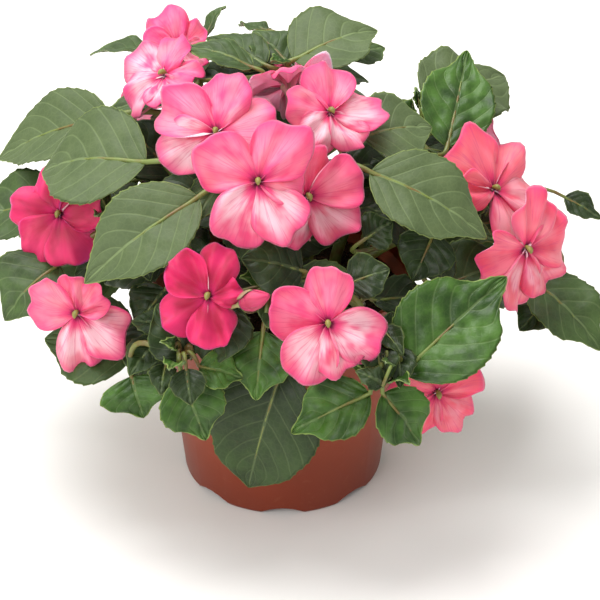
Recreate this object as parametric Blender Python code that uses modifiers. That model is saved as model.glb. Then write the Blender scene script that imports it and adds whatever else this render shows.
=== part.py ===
"""A busy lizzie growing in its round plastic pot.

The pot, the soil, every leafy shoot and every bloom are separate solids. Sizes are in millimetres and
become metres where a mesh is made. The origin is the pot's axis on the surface that it stands on, +Z is
up and a viewer in front of the pot looks along +Y.
"""
import math
from collections import namedtuple

import bmesh
import bpy
from mathutils import Vector

MM = 0.001
NAME = "busy_lizzie"

# Pot, a moulded 10 cm nursery pot
POT_HEIGHT = 90.0
FOOT_RADIUS = 39.0
BAND_RADIUS = 50.5
BAND_DEPTH = 12.0
WALL_SLOPE = 0.10
WALL = 1.6
FOOT_RING = 2.4
FLOOR_HEIGHT = 4.5
FLOOR_THICKNESS = 1.6
POT_STEPS = 32
NOTCHES = 8
NOTCH_WIDTH = 18.5
NOTCH_HEIGHT = 3.0
DRAIN_HOLES = 6
DRAIN_RADIUS = 3.5
DRAIN_CIRCLE = 24.0

# Soil
SOIL_EDGE = 78.5
SOIL_CROWN = 81.5
SOIL_STEPS = 24
GAP = 0.3
ROOT_DEPTH = 12.0

# Stems and stalks
STEM_RADIUS = 2.5
STEM_TOP_RADIUS = 1.5
PETIOLE_RADIUS = 1.2
PEDICEL_RADIUS = 0.75
STALK_CLEAR = 107.0
CALYX_RADIUS = 1.7
STEM_SIDES = 6
STALK_SIDES = 4

# Blades and petals
BLADE = 0.7
TOOTH = 1.0
BASE_POWER = 0.66
TIP_POWER = 1.0
BLADE_WIDEST = BASE_POWER / (BASE_POWER + TIP_POWER)
PETAL_THICKNESS = 0.65
PETAL_SPREAD = math.radians(54)
PETAL_ROUNDING = 0.42
PETAL_NOTCH = 0.13
PETAL_TWIST = 0.15
HUB_RADIUS = 3.6
HUB_DEPTH = 4.5
SPUR_LENGTH = 17.0

# The viewer looks down on the plant by this angle, from this distance
VIEW_PITCH = math.radians(32.2)
VIEW_DISTANCE = 950.0
VIEW_CENTRE = (6.8, 62.5)
VIEW_UP = Vector((0, math.sin(VIEW_PITCH), math.cos(VIEW_PITCH)))
VIEW_NEAR = Vector((0, -math.cos(VIEW_PITCH), math.sin(VIEW_PITCH)))
RIGHT = Vector((1, 0, 0))
UP = Vector((0, 0, 1))

Shoot = namedtuple("Shoot", "name route")
Leaf = namedtuple("Leaf", "shoot base tip width arch fold turn wave rows", defaults=(3.0, 0.12, 0.0, 0.6, 7))
Petal = namedtuple("Petal", "angle size bend", defaults=(0.0,))
FIVE_PETALS = (Petal(0, 0.9), Petal(70, 0.95), Petal(142, 1.0), Petal(-142, 1.0), Petal(-70, 0.95))
Bloom = namedtuple("Bloom", "name shoot eye facing length petals cup ruffle", defaults=(FIVE_PETALS, 0.05, 0.5))


def seen(right, up, near):
    """The point that the viewer sees this far right of and above the foot's centre, and this much nearer."""
    scale = 1 - near / VIEW_DISTANCE
    x = scale * right + (1 - scale) * VIEW_CENTRE[0]
    y = scale * up + (1 - scale) * VIEW_CENTRE[1]
    return RIGHT * x + VIEW_UP * y + VIEW_NEAR * near


def toward(right, up, near):
    """A direction given as the viewer sees it."""
    return (RIGHT * right + VIEW_UP * up + VIEW_NEAR * near).normalized()


def at(x, y, z):
    """A point in the part's own frame."""
    return Vector((x, y, z))


# Every shoot rises from its own hole in the soil, then leans out to its tip
SHOOTS = [
    Shoot("shoot_crown_left", [(-10, -4), (-12, -4, 100), (-16, -4, 126), (-15, -4, 141)]),
    Shoot("shoot_crown_right", [(9, -3), (11, -2, 104), (13, -1, 126), (12, 0, 140)]),
    Shoot("shoot_front", [(0, -20), (-1, -29, 96), (-2, -37, 105)]),
    Shoot("shoot_front_left", [(-20, -20), (-26, -36, 96), (-33, -54, 95), (-36, -65, 88)]),
    Shoot("shoot_front_right", [(20, -20), (26, -35, 96), (33, -52, 93), (38, -65, 81)]),
    Shoot("shoot_left", [(-26, 0), (-38, -1, 98), (-54, -3, 107), (-64, -4, 110)]),
    Shoot("shoot_right", [(26, 0), (40, 1, 98), (58, 0, 104), (72, 0, 104)]),
    Shoot("shoot_back_left", [(-17, 19), (-24, 30, 108), (-31, 40, 134), (-32, 44, 146)]),
    Shoot("shoot_back", [(3, 23), (3, 33, 110), (4, 43, 136), (4, 48, 149)]),
    Shoot("shoot_back_right", [(21, 17), (32, 26, 106), (46, 36, 120), (54, 40, 127)]),
    Shoot("shoot_low_left", [(-31, 15), (-35, 20, 98), (-48, 32, 101), (-60, 42, 98)]),
    Shoot("shoot_low_right", [(31, 12), (35, 18, 98), (48, 32, 100), (60, 44, 96)]),
    Shoot("shoot_low_back", [(5, 35), (4, 44, 98), (3, 56, 98), (2, 64, 95)]),
]

# Leaves, with the places of blade base and blade tip
LEAVES = [
    Leaf("shoot_crown_left", seen(-55, 118, 90), seen(-97, 114, 62), 42, 6),
    Leaf("shoot_crown_left", seen(-34, 104, 98), seen(-80, 69, 98), 34, 4),
    Leaf("shoot_back_left", seen(-70, 136, 44), seen(-115, 119, 18), 36, 4),
    Leaf("shoot_left", seen(-89, 101, 45), seen(-127, 94, 25), 34),
    Leaf("shoot_left", seen(-90, 77, 58), seen(-112, 54, 60), 34, 4),
    Leaf("shoot_left", seen(-59, 42, 72), seen(-96, 47, 60), 36),
    Leaf("shoot_front_left", seen(-61, 32, 92), seen(-56, 15, 92), 26, 2, rows=5),
    Leaf("shoot_front_left", seen(-51, 52, 76), seen(-59, 30, 78), 22, 2, rows=5),
    Leaf("shoot_front_left", seen(-37, 39, 102), seen(-51, 61, 104), 22, 2, rows=5),
    Leaf("shoot_front_left", seen(-41, 32, 106), seen(-31, 6, 98), 24, 3),
    Leaf("shoot_front_left", seen(-39, 35, 110), seen(-37, 20, 112), 13, 1, rows=5),
    Leaf("shoot_front_left", seen(-34, 36, 106), seen(-16, 31, 104), 15, 1, rows=5),
    Leaf("shoot_front_left", seen(-24, 60, 98), seen(-29, 35, 104), 26, 2, rows=5),
    Leaf("shoot_front", seen(-8, 50, 100), seen(-11, 22, 98), 24, 2, rows=5),
    Leaf("shoot_front", seen(0, 36, 92), seen(-14, -13, 66), 43, 5),
    Leaf("shoot_front_right", seen(35, 25, 101), seen(3, 9, 98), 24, 2),
    Leaf("shoot_front_right", seen(40, 25, 103), seen(55, 4, 95), 23, 2),
    Leaf("shoot_front_right", seen(48, 33, 98), seen(90, 72, 88), 38, 3, 0.18),
    Leaf("shoot_crown_right", seen(35, 114, 88), seen(82, 87, 84), 34, 5),
    Leaf("shoot_crown_right", seen(32, 128, 70), seen(60, 132, 60), 32, rows=5),
    Leaf("shoot_back_right", seen(66, 124, 52), seen(74, 163, 28), 29, 2),
    Leaf("shoot_back_right", seen(59, 140, 38), seen(89, 153, 5), 34, 3),
    Leaf("shoot_back", seen(4, 159, 48), seen(38, 171, 36), 38, 3),
    Leaf("shoot_back", seen(25, 160, 34), seen(41, 164, 24), 18, 1, rows=5),
    Leaf("shoot_back", seen(2, 158, 40), seen(-12, 171, 30), 20, 1, rows=5),
    Leaf("shoot_back", seen(-7, 157, 45), seen(-31, 168, 30), 20, 2, rows=5),
    Leaf("shoot_back_left", seen(-32, 168, 24), seen(-23, 181, 20), 12, 1, rows=5),
    Leaf("shoot_back", seen(-6, 171, 20), seen(-18, 173, 12), 14, 1, rows=5),
    Leaf("shoot_back_left", seen(-53, 162, 25), seen(-78, 161, 14), 20, 2, rows=5),
    Leaf("shoot_back_left", seen(-12, 156, 66), seen(-40, 164, 60), 15, 3, rows=5),
    Leaf("shoot_left", seen(-45, 87, 66), seen(-72, 69, 56), 30),
    Leaf("shoot_front_left", seen(-47, 67, 76), seen(-59, 52, 78), 22, 1, rows=5),
    Leaf("shoot_front", seen(8, 74, 92), seen(-17, 79, 98), 27, 2, rows=5),
    Leaf("shoot_front", seen(26, 69, 98), seen(43, 75, 98), 18, 1, rows=5),
    Leaf("shoot_right", seen(33, 87, 84), seen(44, 94, 84), 16, 1, rows=5),
    Leaf("shoot_right", seen(61, 90, 78), seen(52, 70, 80), 22, 2, rows=5),
    Leaf("shoot_right", seen(60, 66, 56), seen(94, 78, 50), 30),
    Leaf("shoot_right", seen(100, 71, 42), seen(128, 42, 48), 30),
    Leaf("shoot_right", seen(109, 66, 36), seen(95, 50, 36), 18, 1, rows=5),
    Leaf("shoot_right", seen(113, 104, 30), seen(128, 95, 30), 12, 1, rows=5),
    Leaf("shoot_front_right", seen(42, 37, 93), seen(44, 58, 88), 20, 1, rows=5),
    Leaf("shoot_low_left", at(-72, 44, 92), at(-108, 58, 68), 34, 5),
    Leaf("shoot_low_left", at(-66, 54, 90), at(-82, 74, 58), 34, 4),
    Leaf("shoot_low_left", at(-56, 20, 84), at(-96, 10, 56), 32, 4),
    Leaf("shoot_low_right", at(70, 48, 88), at(104, 58, 64), 34, 5),
    Leaf("shoot_low_right", at(60, 58, 84), at(70, 76, 50), 34, 4),
    Leaf("shoot_low_right", at(58, 20, 82), at(98, 26, 56), 34, 4),
    Leaf("shoot_low_back", at(-16, 60, 86), at(-38, 76, 54), 32, 4),
    Leaf("shoot_low_back", at(25, 59, 86), at(44, 74, 56), 30, 4),
    Leaf("shoot_back_left", at(-56, 34, 108), at(-98, 36, 90), 32, 4),
    Leaf("shoot_back_left", at(-28, 58, 124), at(-32, 83, 100), 30, 4),
    Leaf("shoot_back", at(4, 56, 112), at(4, 80, 88), 30, 4),
    Leaf("shoot_back", at(24, 58, 130), at(38, 82, 112), 30, 4),
    Leaf("shoot_back_right", at(46, 54, 108), at(46, 82, 84), 32, 4),
    Leaf("shoot_back_right", at(66, 38, 108), at(102, 42, 92), 28, 4, rows=5),
]

# Blooms, with the place of the eye, the way it faces and its longest petal
BLOOMS = [
    Bloom("bloom_middle", "shoot_crown_left", seen(-10, 110, 114), toward(0.0, 0.05, 1.0), 24, (
        Petal(34, 1.0), Petal(-70, 1.0), Petal(-147, 1.0, 0.05), Petal(140, 1.0), Petal(92, 0.85, -0.15))),
    Bloom("bloom_middle_right", "shoot_crown_right", seen(10, 104, 99), toward(0.35, -0.15, 0.9), 23, (
        Petal(15, 0.8, 0.1), Petal(76, 1.0, 0.35), Petal(139, 1.0), Petal(-150, 0.9), Petal(-80, 0.8))),
    Bloom("bloom_upper_left", "shoot_crown_left", seen(-27, 130, 95), toward(-0.1, 0.25, 0.95), 24, (
        Petal(5, 1.0, 0.1), Petal(-60, 1.05, 0.1), Petal(66, 1.0, 0.1), Petal(-115, 0.95), Petal(150, 0.8))),
    Bloom("bloom_upper_middle", "shoot_crown_right", seen(2, 149, 60), toward(-0.1, 0.75, -0.35), 20),
    Bloom("bloom_upper_right", "shoot_crown_right", seen(19, 138, 82), toward(0.35, 0.3, 0.85), 20, (
        Petal(25, 1.05), Petal(100, 1.05, 0.1), Petal(160, 0.85, 0.1), Petal(-60, 0.9), Petal(-130, 0.85))),
    Bloom("bloom_high_left", "shoot_back_left", seen(-48, 153, 66), toward(-0.5, 0.5, 0.7), 21, (
        Petal(-100, 1.05), Petal(-45, 0.9, 0.1), Petal(-155, 0.95, 0.1), Petal(55, 0.7), Petal(125, 0.75))),
    Bloom("bloom_highest", "shoot_back_left", seen(-42, 165, 44), toward(0.1, 0.3, 0.9), 18, (
        Petal(-20, 1.15, 0.2), Petal(-82, 1.0), Petal(48, 0.9, 0.1), Petal(112, 0.85, 0.1), Petal(175, 0.8))),
    Bloom("bloom_far_left", "shoot_left", seen(-90, 97, 60), toward(-0.3, -0.05, 0.95), 20, (
        Petal(-15, 0.95), Petal(68, 1.0), Petal(148, 1.05), Petal(-152, 1.05), Petal(-88, 1.0)), 0.2),
    Bloom("bloom_low_left", "shoot_left", seen(-83, 57, 82), toward(-0.25, -0.2, 0.9), 20, (
        Petal(-78, 1.05, 0.1), Petal(-22, 0.75, 0.3), Petal(42, 0.75, 0.3), Petal(118, 1.15), Petal(172, 1.1))),
    Bloom("bloom_far_right", "shoot_right", seen(85, 107, 54), toward(0.7, 0.4, 0.55), 24, (
        Petal(0, 1.05), Petal(58, 1.0), Petal(118, 1.0), Petal(175, 1.0), Petal(-70, 0.7, 0.3))),
    Bloom("bloom_low_right", "shoot_right", seen(95, 83, 71), toward(0.35, -0.25, 0.9), 23, (
        Petal(35, 1.0), Petal(92, 1.05), Petal(150, 1.1), Petal(-160, 1.1), Petal(-85, 1.0))),
    Bloom("bloom_bottom_right", "shoot_front_right", seen(62, 25, 76), toward(0.3, -0.45, 0.8), 20),
    Bloom("bloom_deep_pink", "shoot_front", seen(-30, 64, 111), toward(-0.25, 0.0, 0.95), 17, (
        Petal(-52, 1.15, 0.1), Petal(5, 1.1, 0.1), Petal(68, 0.75, 0.3), Petal(165, 1.1), Petal(-135, 1.15)), 0.2),
    Bloom("bloom_front", "shoot_front", seen(18, 53, 114), toward(0.05, -0.05, 1.0), 21, (
        Petal(3, 0.98, 0.1), Petal(-76, 1.1), Petal(-147, 1.15), Petal(166, 0.95, 0.1), Petal(108, 1.02))),
    Bloom("bloom_back_left", "shoot_back_left", at(-62, 66, 120), Vector((-0.6, 0.65, 0.45)), 20),
    Bloom("bloom_back_high", "shoot_back", at(-2, 72, 136), Vector((0.0, 0.85, 0.45)), 19),
    Bloom("bloom_back_low", "shoot_low_back", at(4, 74, 82), Vector((0.1, 0.9, 0.25)), 19),
    Bloom("bloom_back_right", "shoot_back_right", at(74, 64, 114), Vector((0.6, 0.65, 0.4)), 21),
]
BUD = Bloom("bud", "shoot_front", seen(-14, 62, 117), toward(0.45, 0.35, 0.8), 13)


def material(name, colour, roughness):
    """A Principled material in one plain colour."""
    made = bpy.data.materials.new(name)
    made.use_nodes = True
    shader = made.node_tree.nodes["Principled BSDF"]
    shader.inputs["Base Color"].default_value = (*colour, 1)
    shader.inputs["Roughness"].default_value = roughness
    shader.inputs["Metallic"].default_value = 0
    return made


def new_object(name, mesh, collection):
    """An object for a mesh, linked to a collection."""
    made = bpy.data.objects.new(name, mesh)
    collection.objects.link(made)
    return made


def mesh_of(name, points, faces):
    """A mesh in metres from points in millimetres."""
    mesh = bpy.data.meshes.new(name)
    mesh.from_pydata([point * MM for point in points], [], faces)
    mesh.update()
    return mesh


def evaluated(source, collection):
    """A plain mesh object from what modifiers or a curve make, in place of the source."""
    bpy.context.view_layer.update()
    graph = bpy.context.evaluated_depsgraph_get()
    mesh = bpy.data.meshes.new_from_object(source.evaluated_get(graph), depsgraph=graph)
    made = new_object(source.name + "_mesh", mesh, collection)
    made.matrix_world = source.matrix_world
    bpy.data.objects.remove(source)
    return made


def turned(name, profile, steps, collection):
    """A solid turned round the Z axis from a profile that runs down its outer side."""
    points = [Vector((radius, 0, height)) * MM for radius, height in profile]
    edges = [(i, i + 1) for i in range(len(points) - 1)]
    mesh = bpy.data.meshes.new(name)
    mesh.from_pydata(points, edges, [])
    made = new_object(name, mesh, collection)
    screw = made.modifiers.new("Screw", "SCREW")
    screw.steps = steps
    screw.render_steps = steps
    screw.use_merge_vertices = True
    screw.merge_threshold = 0.00001
    screw.use_smooth_shade = False
    return made


def tube(name, points, radii, sides, collection):
    """A round stalk with filled ends along a path."""
    data = bpy.data.curves.new(name, "CURVE")
    data.dimensions = "3D"
    data.bevel_depth = MM
    data.bevel_resolution = (sides - 4) // 2
    data.use_fill_caps = True
    spline = data.splines.new("POLY")
    spline.points.add(len(points) - 1)
    for slot, point, radius in zip(spline.points, points, radii):
        slot.co = (*(point * MM), 1)
        slot.radius = radius
    made = evaluated(new_object(name, data, collection), collection)
    work = bmesh.new()
    work.from_mesh(made.data)
    bmesh.ops.remove_doubles(work, verts=work.verts, dist=1e-7)
    work.to_mesh(made.data)
    work.free()
    return made


def sheet(name, points, faces, thickness, collection):
    """A thin closed piece: an open surface of triangles with Solidify."""
    made = new_object(name, mesh_of(name, points, faces), collection)
    solid = made.modifiers.new("Solidify", "SOLIDIFY")
    solid.thickness = thickness * MM
    solid.offset = 0
    return evaluated(made, collection)


def cut(target, cutter):
    """Take a cutter's shape away from a target."""
    cutter.hide_render = True
    cutter.display_type = "WIRE"
    boolean = target.modifiers.new("Cut " + cutter.name, "BOOLEAN")
    boolean.operation = "DIFFERENCE"
    boolean.object = cutter


def joined(name, pieces, parts, colour):
    """One solid from overlapping pieces, by a Boolean union on their collection."""
    first = pieces[0]
    rest = bpy.data.collections.new(name + "_pieces")
    for piece in pieces[1:]:
        rest.objects.link(piece)
    boolean = first.modifiers.new("Union", "BOOLEAN")
    boolean.operation = "UNION"
    boolean.operand_type = "COLLECTION"
    boolean.collection = rest
    boolean.solver = "MANIFOLD"
    made = evaluated(first, parts)
    for piece in list(rest.objects):
        bpy.data.objects.remove(piece)
    bpy.data.collections.remove(rest)
    made.name = name
    made.data.name = name
    made.data.materials.clear()
    made.data.materials.append(colour)
    return made


def bezier(start, control, end, steps):
    """Points along a quadratic curve."""
    found = []
    for i in range(steps + 1):
        t = i / steps
        found.append(start * (1 - t) ** 2 + control * 2 * t * (1 - t) + end * t ** 2)
    return found


def route_points(shoot):
    """A shoot's path from the bottom of its hole in the soil to its tip."""
    x, y = shoot.route[0]
    below = Vector((x, y, SOIL_EDGE - ROOT_DEPTH))
    collar = Vector((x, y, SOIL_CROWN + 3))
    return [below, collar] + [Vector(point) for point in shoot.route[1:]]


def joint_on(path, target):
    """The place on a stem that a stalk to this target grows from, a little below it."""
    best = None
    for start, end in zip(path[1:], path[2:]):
        for i in range(9):
            point = start.lerp(end, i / 8)
            cost = (point - target).length + 0.6 * max(0, point.z - target.z + 6)
            if best is None or cost < best[0]:
                best = (cost, point)
    return best[1]


def leaf_frame(leaf):
    """The blade's own directions: along its midrib, across it and out of its upper face."""
    along = (leaf.tip - leaf.base).normalized()
    outward = Vector((leaf.base.x, leaf.base.y, 0)).normalized()
    face = UP + outward * 0.45
    if leaf.base.y < 60:
        face = UP * 0.8 + VIEW_NEAR * 0.6 + outward * 0.3
    face = face - along * face.dot(along)
    face.normalize()
    across = along.cross(face)
    turn = math.radians(leaf.turn)
    upper = face * math.cos(turn) + across * math.sin(turn)
    return along, along.cross(upper), upper


def half_width(s):
    """How much of its full half width a blade has, s of the way from base to tip."""
    widest = BLADE_WIDEST ** BASE_POWER * (1 - BLADE_WIDEST) ** TIP_POWER
    return s ** BASE_POWER * (1 - s) ** TIP_POWER / widest


def leaf_point(leaf, frame, s, t, tooth=0.0):
    """A point of the blade, s of the way to the tip and t of the way to a margin."""
    along, across, upper = frame
    length = (leaf.tip - leaf.base).length
    out = t * (leaf.width / 2 * half_width(s) + tooth)
    side = 1 if t > 0 else -1
    rise = leaf.arch * math.sin(math.pi * s) + leaf.fold * abs(out)
    rise += leaf.wave * t * t * math.sin(5 * math.pi * s + side) * math.sin(math.pi * s)
    return leaf.base + along * (s * length) + across * out + upper * rise


def blade(leaf, name, collection):
    """A leaf blade with a toothed margin."""
    frame = leaf_frame(leaf)
    points = [leaf_point(leaf, frame, 0, 0)]
    for row in range(1, leaf.rows):
        tooth = TOOTH * (1 - row % 2)
        for t in (-1, 0, 1):
            points.append(leaf_point(leaf, frame, row / leaf.rows, t, tooth if t else 0))
    points.append(leaf_point(leaf, frame, 1, 0))
    last = len(points) - 1
    faces = [(0, 1, 2), (0, 2, 3), (last, last - 2, last - 3), (last, last - 1, last - 2)]
    for row in range(leaf.rows - 2):
        for column in (0, 1):
            a = 1 + row * 3 + column
            faces.append((a, a + 3, a + 4))
            faces.append((a, a + 4, a + 1))
    return sheet(name, points, faces, BLADE, collection)


def petiole(leaf, path, name, collection):
    """The stalk that carries a blade, from its stem into the blade's midrib."""
    frame = leaf_frame(leaf)
    start = joint_on(path, leaf.base)
    reach = (leaf.base - start).length
    control = leaf.base - frame[0] * (0.45 * reach)
    if leaf.base.z < STALK_CLEAR:
        control.z = max(control.z, STALK_CLEAR)
    points = bezier(start, control, leaf.base, 2)[:2] + [leaf_point(leaf, frame, 0.07, 0)]
    radii = [PETIOLE_RADIUS * size for size in (1.1, 0.9, 0.7)]
    return tube(name, points, radii, STALK_SIDES, collection)


def bloom_frame(bloom):
    """The bloom's own directions: to its right, up its face, and the way it faces."""
    facing = bloom.facing.normalized()
    top = (UP - facing * facing.dot(UP)).normalized()
    return top.cross(facing), top, facing


def petal_point(bloom, frame, petal, s, t):
    """A point of a petal, s of the way from the eye to its edge and t of the way to a side."""
    right, top, facing = frame
    edge = math.cos(math.pi / 2 * t) ** PETAL_ROUNDING * (1 - PETAL_NOTCH * math.exp(-(t / 0.14) ** 2))
    radius = s * bloom.length * petal.size * edge
    turn = math.radians(petal.angle) + t * PETAL_SPREAD
    height = bloom.cup * radius * (1 - 0.5 * s) + petal.bend * radius * s + PETAL_TWIST * t * radius
    height += bloom.ruffle * s * s * math.sin(7 * t + math.radians(petal.angle))
    return bloom.eye + (right * math.sin(turn) + top * math.cos(turn)) * radius + facing * height


def make_petal(bloom, frame, petal, collection):
    """One notched petal."""
    outer = (-0.92, -0.62, -0.22, 0, 0.22, 0.62, 0.92)
    points = [petal_point(bloom, frame, petal, 0, 0)]
    points.append(petal_point(bloom, frame, petal, 0.5, 0))
    points += [petal_point(bloom, frame, petal, 1, t) for t in outer]
    faces = [(1, i, i + 1) for i in range(2, 8)]
    faces += [(0, 2, 1), (0, 1, 8)]
    return sheet("petal", points, faces, PETAL_THICKNESS, collection)


def hub(bloom, frame, collection):
    """The short tube behind the petals."""
    facing = frame[2]
    front = bloom.eye + facing * 1.1
    back = bloom.eye - facing * HUB_DEPTH
    return tube("hub", [front, back], [HUB_RADIUS, CALYX_RADIUS], STEM_SIDES, collection)


def spur(bloom, frame, collection):
    """The thin curved spur that hangs behind the bloom."""
    right, top, facing = frame
    start = bloom.eye - facing * (HUB_DEPTH * 0.55)
    bend = start - facing * 5 - top * (SPUR_LENGTH * 0.5)
    end = start - facing * 2 - top * SPUR_LENGTH
    return tube("spur", bezier(start, bend, end, 2), [1.3, 0.9, 0.5], STALK_SIDES, collection)


def pedicel(bloom, path, name, collection):
    """The stalk of a bloom, ending in its small calyx just behind the hub."""
    facing = bloom.facing.normalized()
    end = bloom.eye - facing * (HUB_DEPTH + GAP)
    start = joint_on(path, end)
    reach = (end - start).length
    control = end - facing * (0.5 * reach)
    points = bezier(start, control, end - facing * 2, 2) + [end]
    radii = [PEDICEL_RADIUS * 1.2, PEDICEL_RADIUS, PEDICEL_RADIUS, CALYX_RADIUS]
    return tube(name, points, radii, STALK_SIDES, collection)


def make_pot(parts, cutters, colour):
    """The pot: a tapering wall with a rim band, a raised floor and arches round its foot."""
    band_foot = POT_HEIGHT - BAND_DEPTH
    wall_top = FOOT_RADIUS + WALL_SLOPE * band_foot
    inner_foot = FOOT_RADIUS - FOOT_RING
    floor_top = FLOOR_HEIGHT + FLOOR_THICKNESS
    profile = [
        (0, floor_top),
        (inner_foot, floor_top),
        (wall_top - WALL, band_foot),
        (BAND_RADIUS - WALL, band_foot + 2.5),
        (BAND_RADIUS - WALL, POT_HEIGHT),
        (BAND_RADIUS - 0.6, POT_HEIGHT),
        (BAND_RADIUS, POT_HEIGHT - 0.6),
        (BAND_RADIUS, band_foot + 1.2),
        (wall_top + 0.6, band_foot),
        (FOOT_RADIUS + WALL_SLOPE * 3, 3),
        (FOOT_RADIUS, 0),
        (inner_foot, 0),
        (inner_foot, FLOOR_HEIGHT),
        (0, FLOOR_HEIGHT),
    ]
    pot = turned("pot", profile, POT_STEPS, parts)
    cut(pot, notch_cutter(cutters))
    cut(pot, drain_cutter(cutters))
    pot.data.materials.append(colour)
    return pot


def notch_cutter(cutters):
    """The arches round the foot, each a flat outline pushed through the foot ring."""
    half = NOTCH_WIDTH / 2
    radius = (half * half + NOTCH_HEIGHT ** 2) / (2 * NOTCH_HEIGHT)
    reach = math.asin(half / radius)
    outline = [(half * 1.1, -1.0), (-half * 1.1, -1.0)]
    for i in range(7):
        angle = -reach + 2 * reach * i / 6
        outline.append((radius * math.sin(angle), NOTCH_HEIGHT - radius + radius * math.cos(angle)))
    inner = FOOT_RADIUS - FOOT_RING - 2
    outer = FOOT_RADIUS + 3
    points = []
    faces = []
    count = len(outline)
    for notch in range(NOTCHES):
        angle = math.radians(-90) + 2 * math.pi * notch / NOTCHES
        away = Vector((math.cos(angle), math.sin(angle), 0))
        beside = Vector((-math.sin(angle), math.cos(angle), 0))
        first = len(points)
        for distance in (inner, outer):
            points += [away * distance + beside * x + UP * z for x, z in outline]
        faces.append([first + i for i in range(count)])
        faces.append([first + count + i for i in reversed(range(count))])
        for i in range(count):
            j = (i + 1) % count
            faces.append((first + j, first + i, first + count + i, first + count + j))
    cutter = new_object("notches", mesh_of("notches", points, faces), cutters)
    work = bmesh.new()
    work.from_mesh(cutter.data)
    bmesh.ops.recalc_face_normals(work, faces=work.faces)
    work.to_mesh(cutter.data)
    work.free()
    return cutter


def round_cutter(name, places, radius, low, high, sides, cutters):
    """Upright round cutters at the given places, in one object."""
    work = bmesh.new()
    for x, y in places:
        made = bmesh.ops.create_cone(
            work,
            cap_ends=True,
            segments=sides,
            radius1=radius * MM,
            radius2=radius * MM,
            depth=(high - low) * MM,
        )
        bmesh.ops.translate(work, verts=made["verts"], vec=Vector((x, y, (low + high) / 2)) * MM)
    mesh = bpy.data.meshes.new(name)
    work.to_mesh(mesh)
    work.free()
    return new_object(name, mesh, cutters)


def drain_cutter(cutters):
    """The drain holes in the pot's floor."""
    places = []
    for hole in range(DRAIN_HOLES):
        angle = 2 * math.pi * hole / DRAIN_HOLES
        places.append((DRAIN_CIRCLE * math.cos(angle), DRAIN_CIRCLE * math.sin(angle)))
    high = FLOOR_HEIGHT + FLOOR_THICKNESS + 1
    return round_cutter("drains", places, DRAIN_RADIUS, FLOOR_HEIGHT - 1, high, 8, cutters)


def make_soil(parts, cutters, colour):
    """The soil that fills the pot, with a plain hole for each stem."""
    floor = FLOOR_HEIGHT + FLOOR_THICKNESS + GAP
    foot = FOOT_RADIUS - FOOT_RING - GAP
    band_foot = POT_HEIGHT - BAND_DEPTH
    wall_top = FOOT_RADIUS + WALL_SLOPE * band_foot - WALL - GAP
    profile = [
        (0, SOIL_CROWN),
        (wall_top * 0.55, SOIL_CROWN - 0.8),
        (wall_top, SOIL_EDGE - 1.0),
        (foot, floor),
        (0, floor),
    ]
    soil = turned("soil", profile, SOIL_STEPS, parts)
    places = [shoot.route[0] for shoot in SHOOTS]
    low = SOIL_EDGE - ROOT_DEPTH - GAP
    radius = (STEM_RADIUS + GAP) / math.cos(math.pi / 8)
    cut(soil, round_cutter("stem_holes", places, radius, low, SOIL_CROWN + 5, 8, cutters))
    soil.data.materials.append(colour)
    return soil


def make_shoot(shoot, parts, scrap, colour):
    """A leafy stem: its stem, its leaves on their stalks and the stalks of its blooms."""
    path = route_points(shoot)
    count = len(path) - 1
    radii = [STEM_RADIUS + (STEM_TOP_RADIUS - STEM_RADIUS) * i / count for i in range(count + 1)]
    radii[1] = STEM_RADIUS
    pieces = [tube("stem", path, radii, STEM_SIDES, scrap)]
    for leaf in LEAVES:
        if leaf.shoot == shoot.name:
            pieces.append(petiole(leaf, path, "petiole", scrap))
            pieces.append(blade(leaf, "blade", scrap))
    for bloom in BLOOMS + [BUD]:
        if bloom.shoot == shoot.name:
            pieces.append(pedicel(bloom, path, "pedicel", scrap))
    return joined(shoot.name, pieces, parts, colour)


def make_bloom(bloom, parts, scrap, colour):
    """A bloom: five petals, the tube behind them and its spur."""
    frame = bloom_frame(bloom)
    pieces = [hub(bloom, frame, scrap)]
    pieces += [make_petal(bloom, frame, petal, scrap) for petal in bloom.petals]
    pieces.append(spur(bloom, frame, scrap))
    return joined(bloom.name, pieces, parts, colour)


def make_bud(parts, colour):
    """The closed bud, an egg of rolled petals on its calyx."""
    right, top, facing = bloom_frame(BUD)
    base = BUD.eye - facing * HUB_DEPTH
    work = bmesh.new()
    bmesh.ops.create_uvsphere(work, u_segments=8, v_segments=6, radius=1)
    for vert in work.verts:
        across = vert.co.x * 4.2 * (1 - 0.35 * vert.co.z)
        beside = vert.co.y * 4.2 * (1 - 0.35 * vert.co.z)
        along = BUD.length / 2 * (1 + vert.co.z)
        vert.co = (base + right * across + top * beside + facing * along) * MM
    bmesh.ops.recalc_face_normals(work, faces=work.faces)
    mesh = bpy.data.meshes.new("bud")
    work.to_mesh(mesh)
    work.free()
    mesh.materials.append(colour)
    return new_object("bud", mesh, parts)


def clear_scene():
    """Start from an empty scene."""
    for item in list(bpy.data.objects):
        bpy.data.objects.remove(item)


def main():
    """Build the whole plant."""
    clear_scene()
    scene = bpy.context.scene
    parts = bpy.data.collections.new(NAME)
    cutters = bpy.data.collections.new("cutters")
    scrap = bpy.data.collections.new("pieces")
    for collection in (parts, cutters, scrap):
        scene.collection.children.link(collection)
    make_pot(parts, cutters, material("terracotta_plastic", (0.25, 0.07, 0.035), 0.45))
    make_soil(parts, cutters, material("peat", (0.03, 0.02, 0.014), 0.95))
    green = material("foliage", (0.07, 0.16, 0.035), 0.5)
    for shoot in SHOOTS:
        make_shoot(shoot, parts, scrap, green)
    pink = material("petal", (0.85, 0.12, 0.24), 0.5)
    for bloom in BLOOMS:
        make_bloom(bloom, parts, scrap, pink)
    make_bud(parts, material("bud_petal", (0.75, 0.03, 0.15), 0.5))
    bpy.data.collections.remove(scrap)


main()
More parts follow.
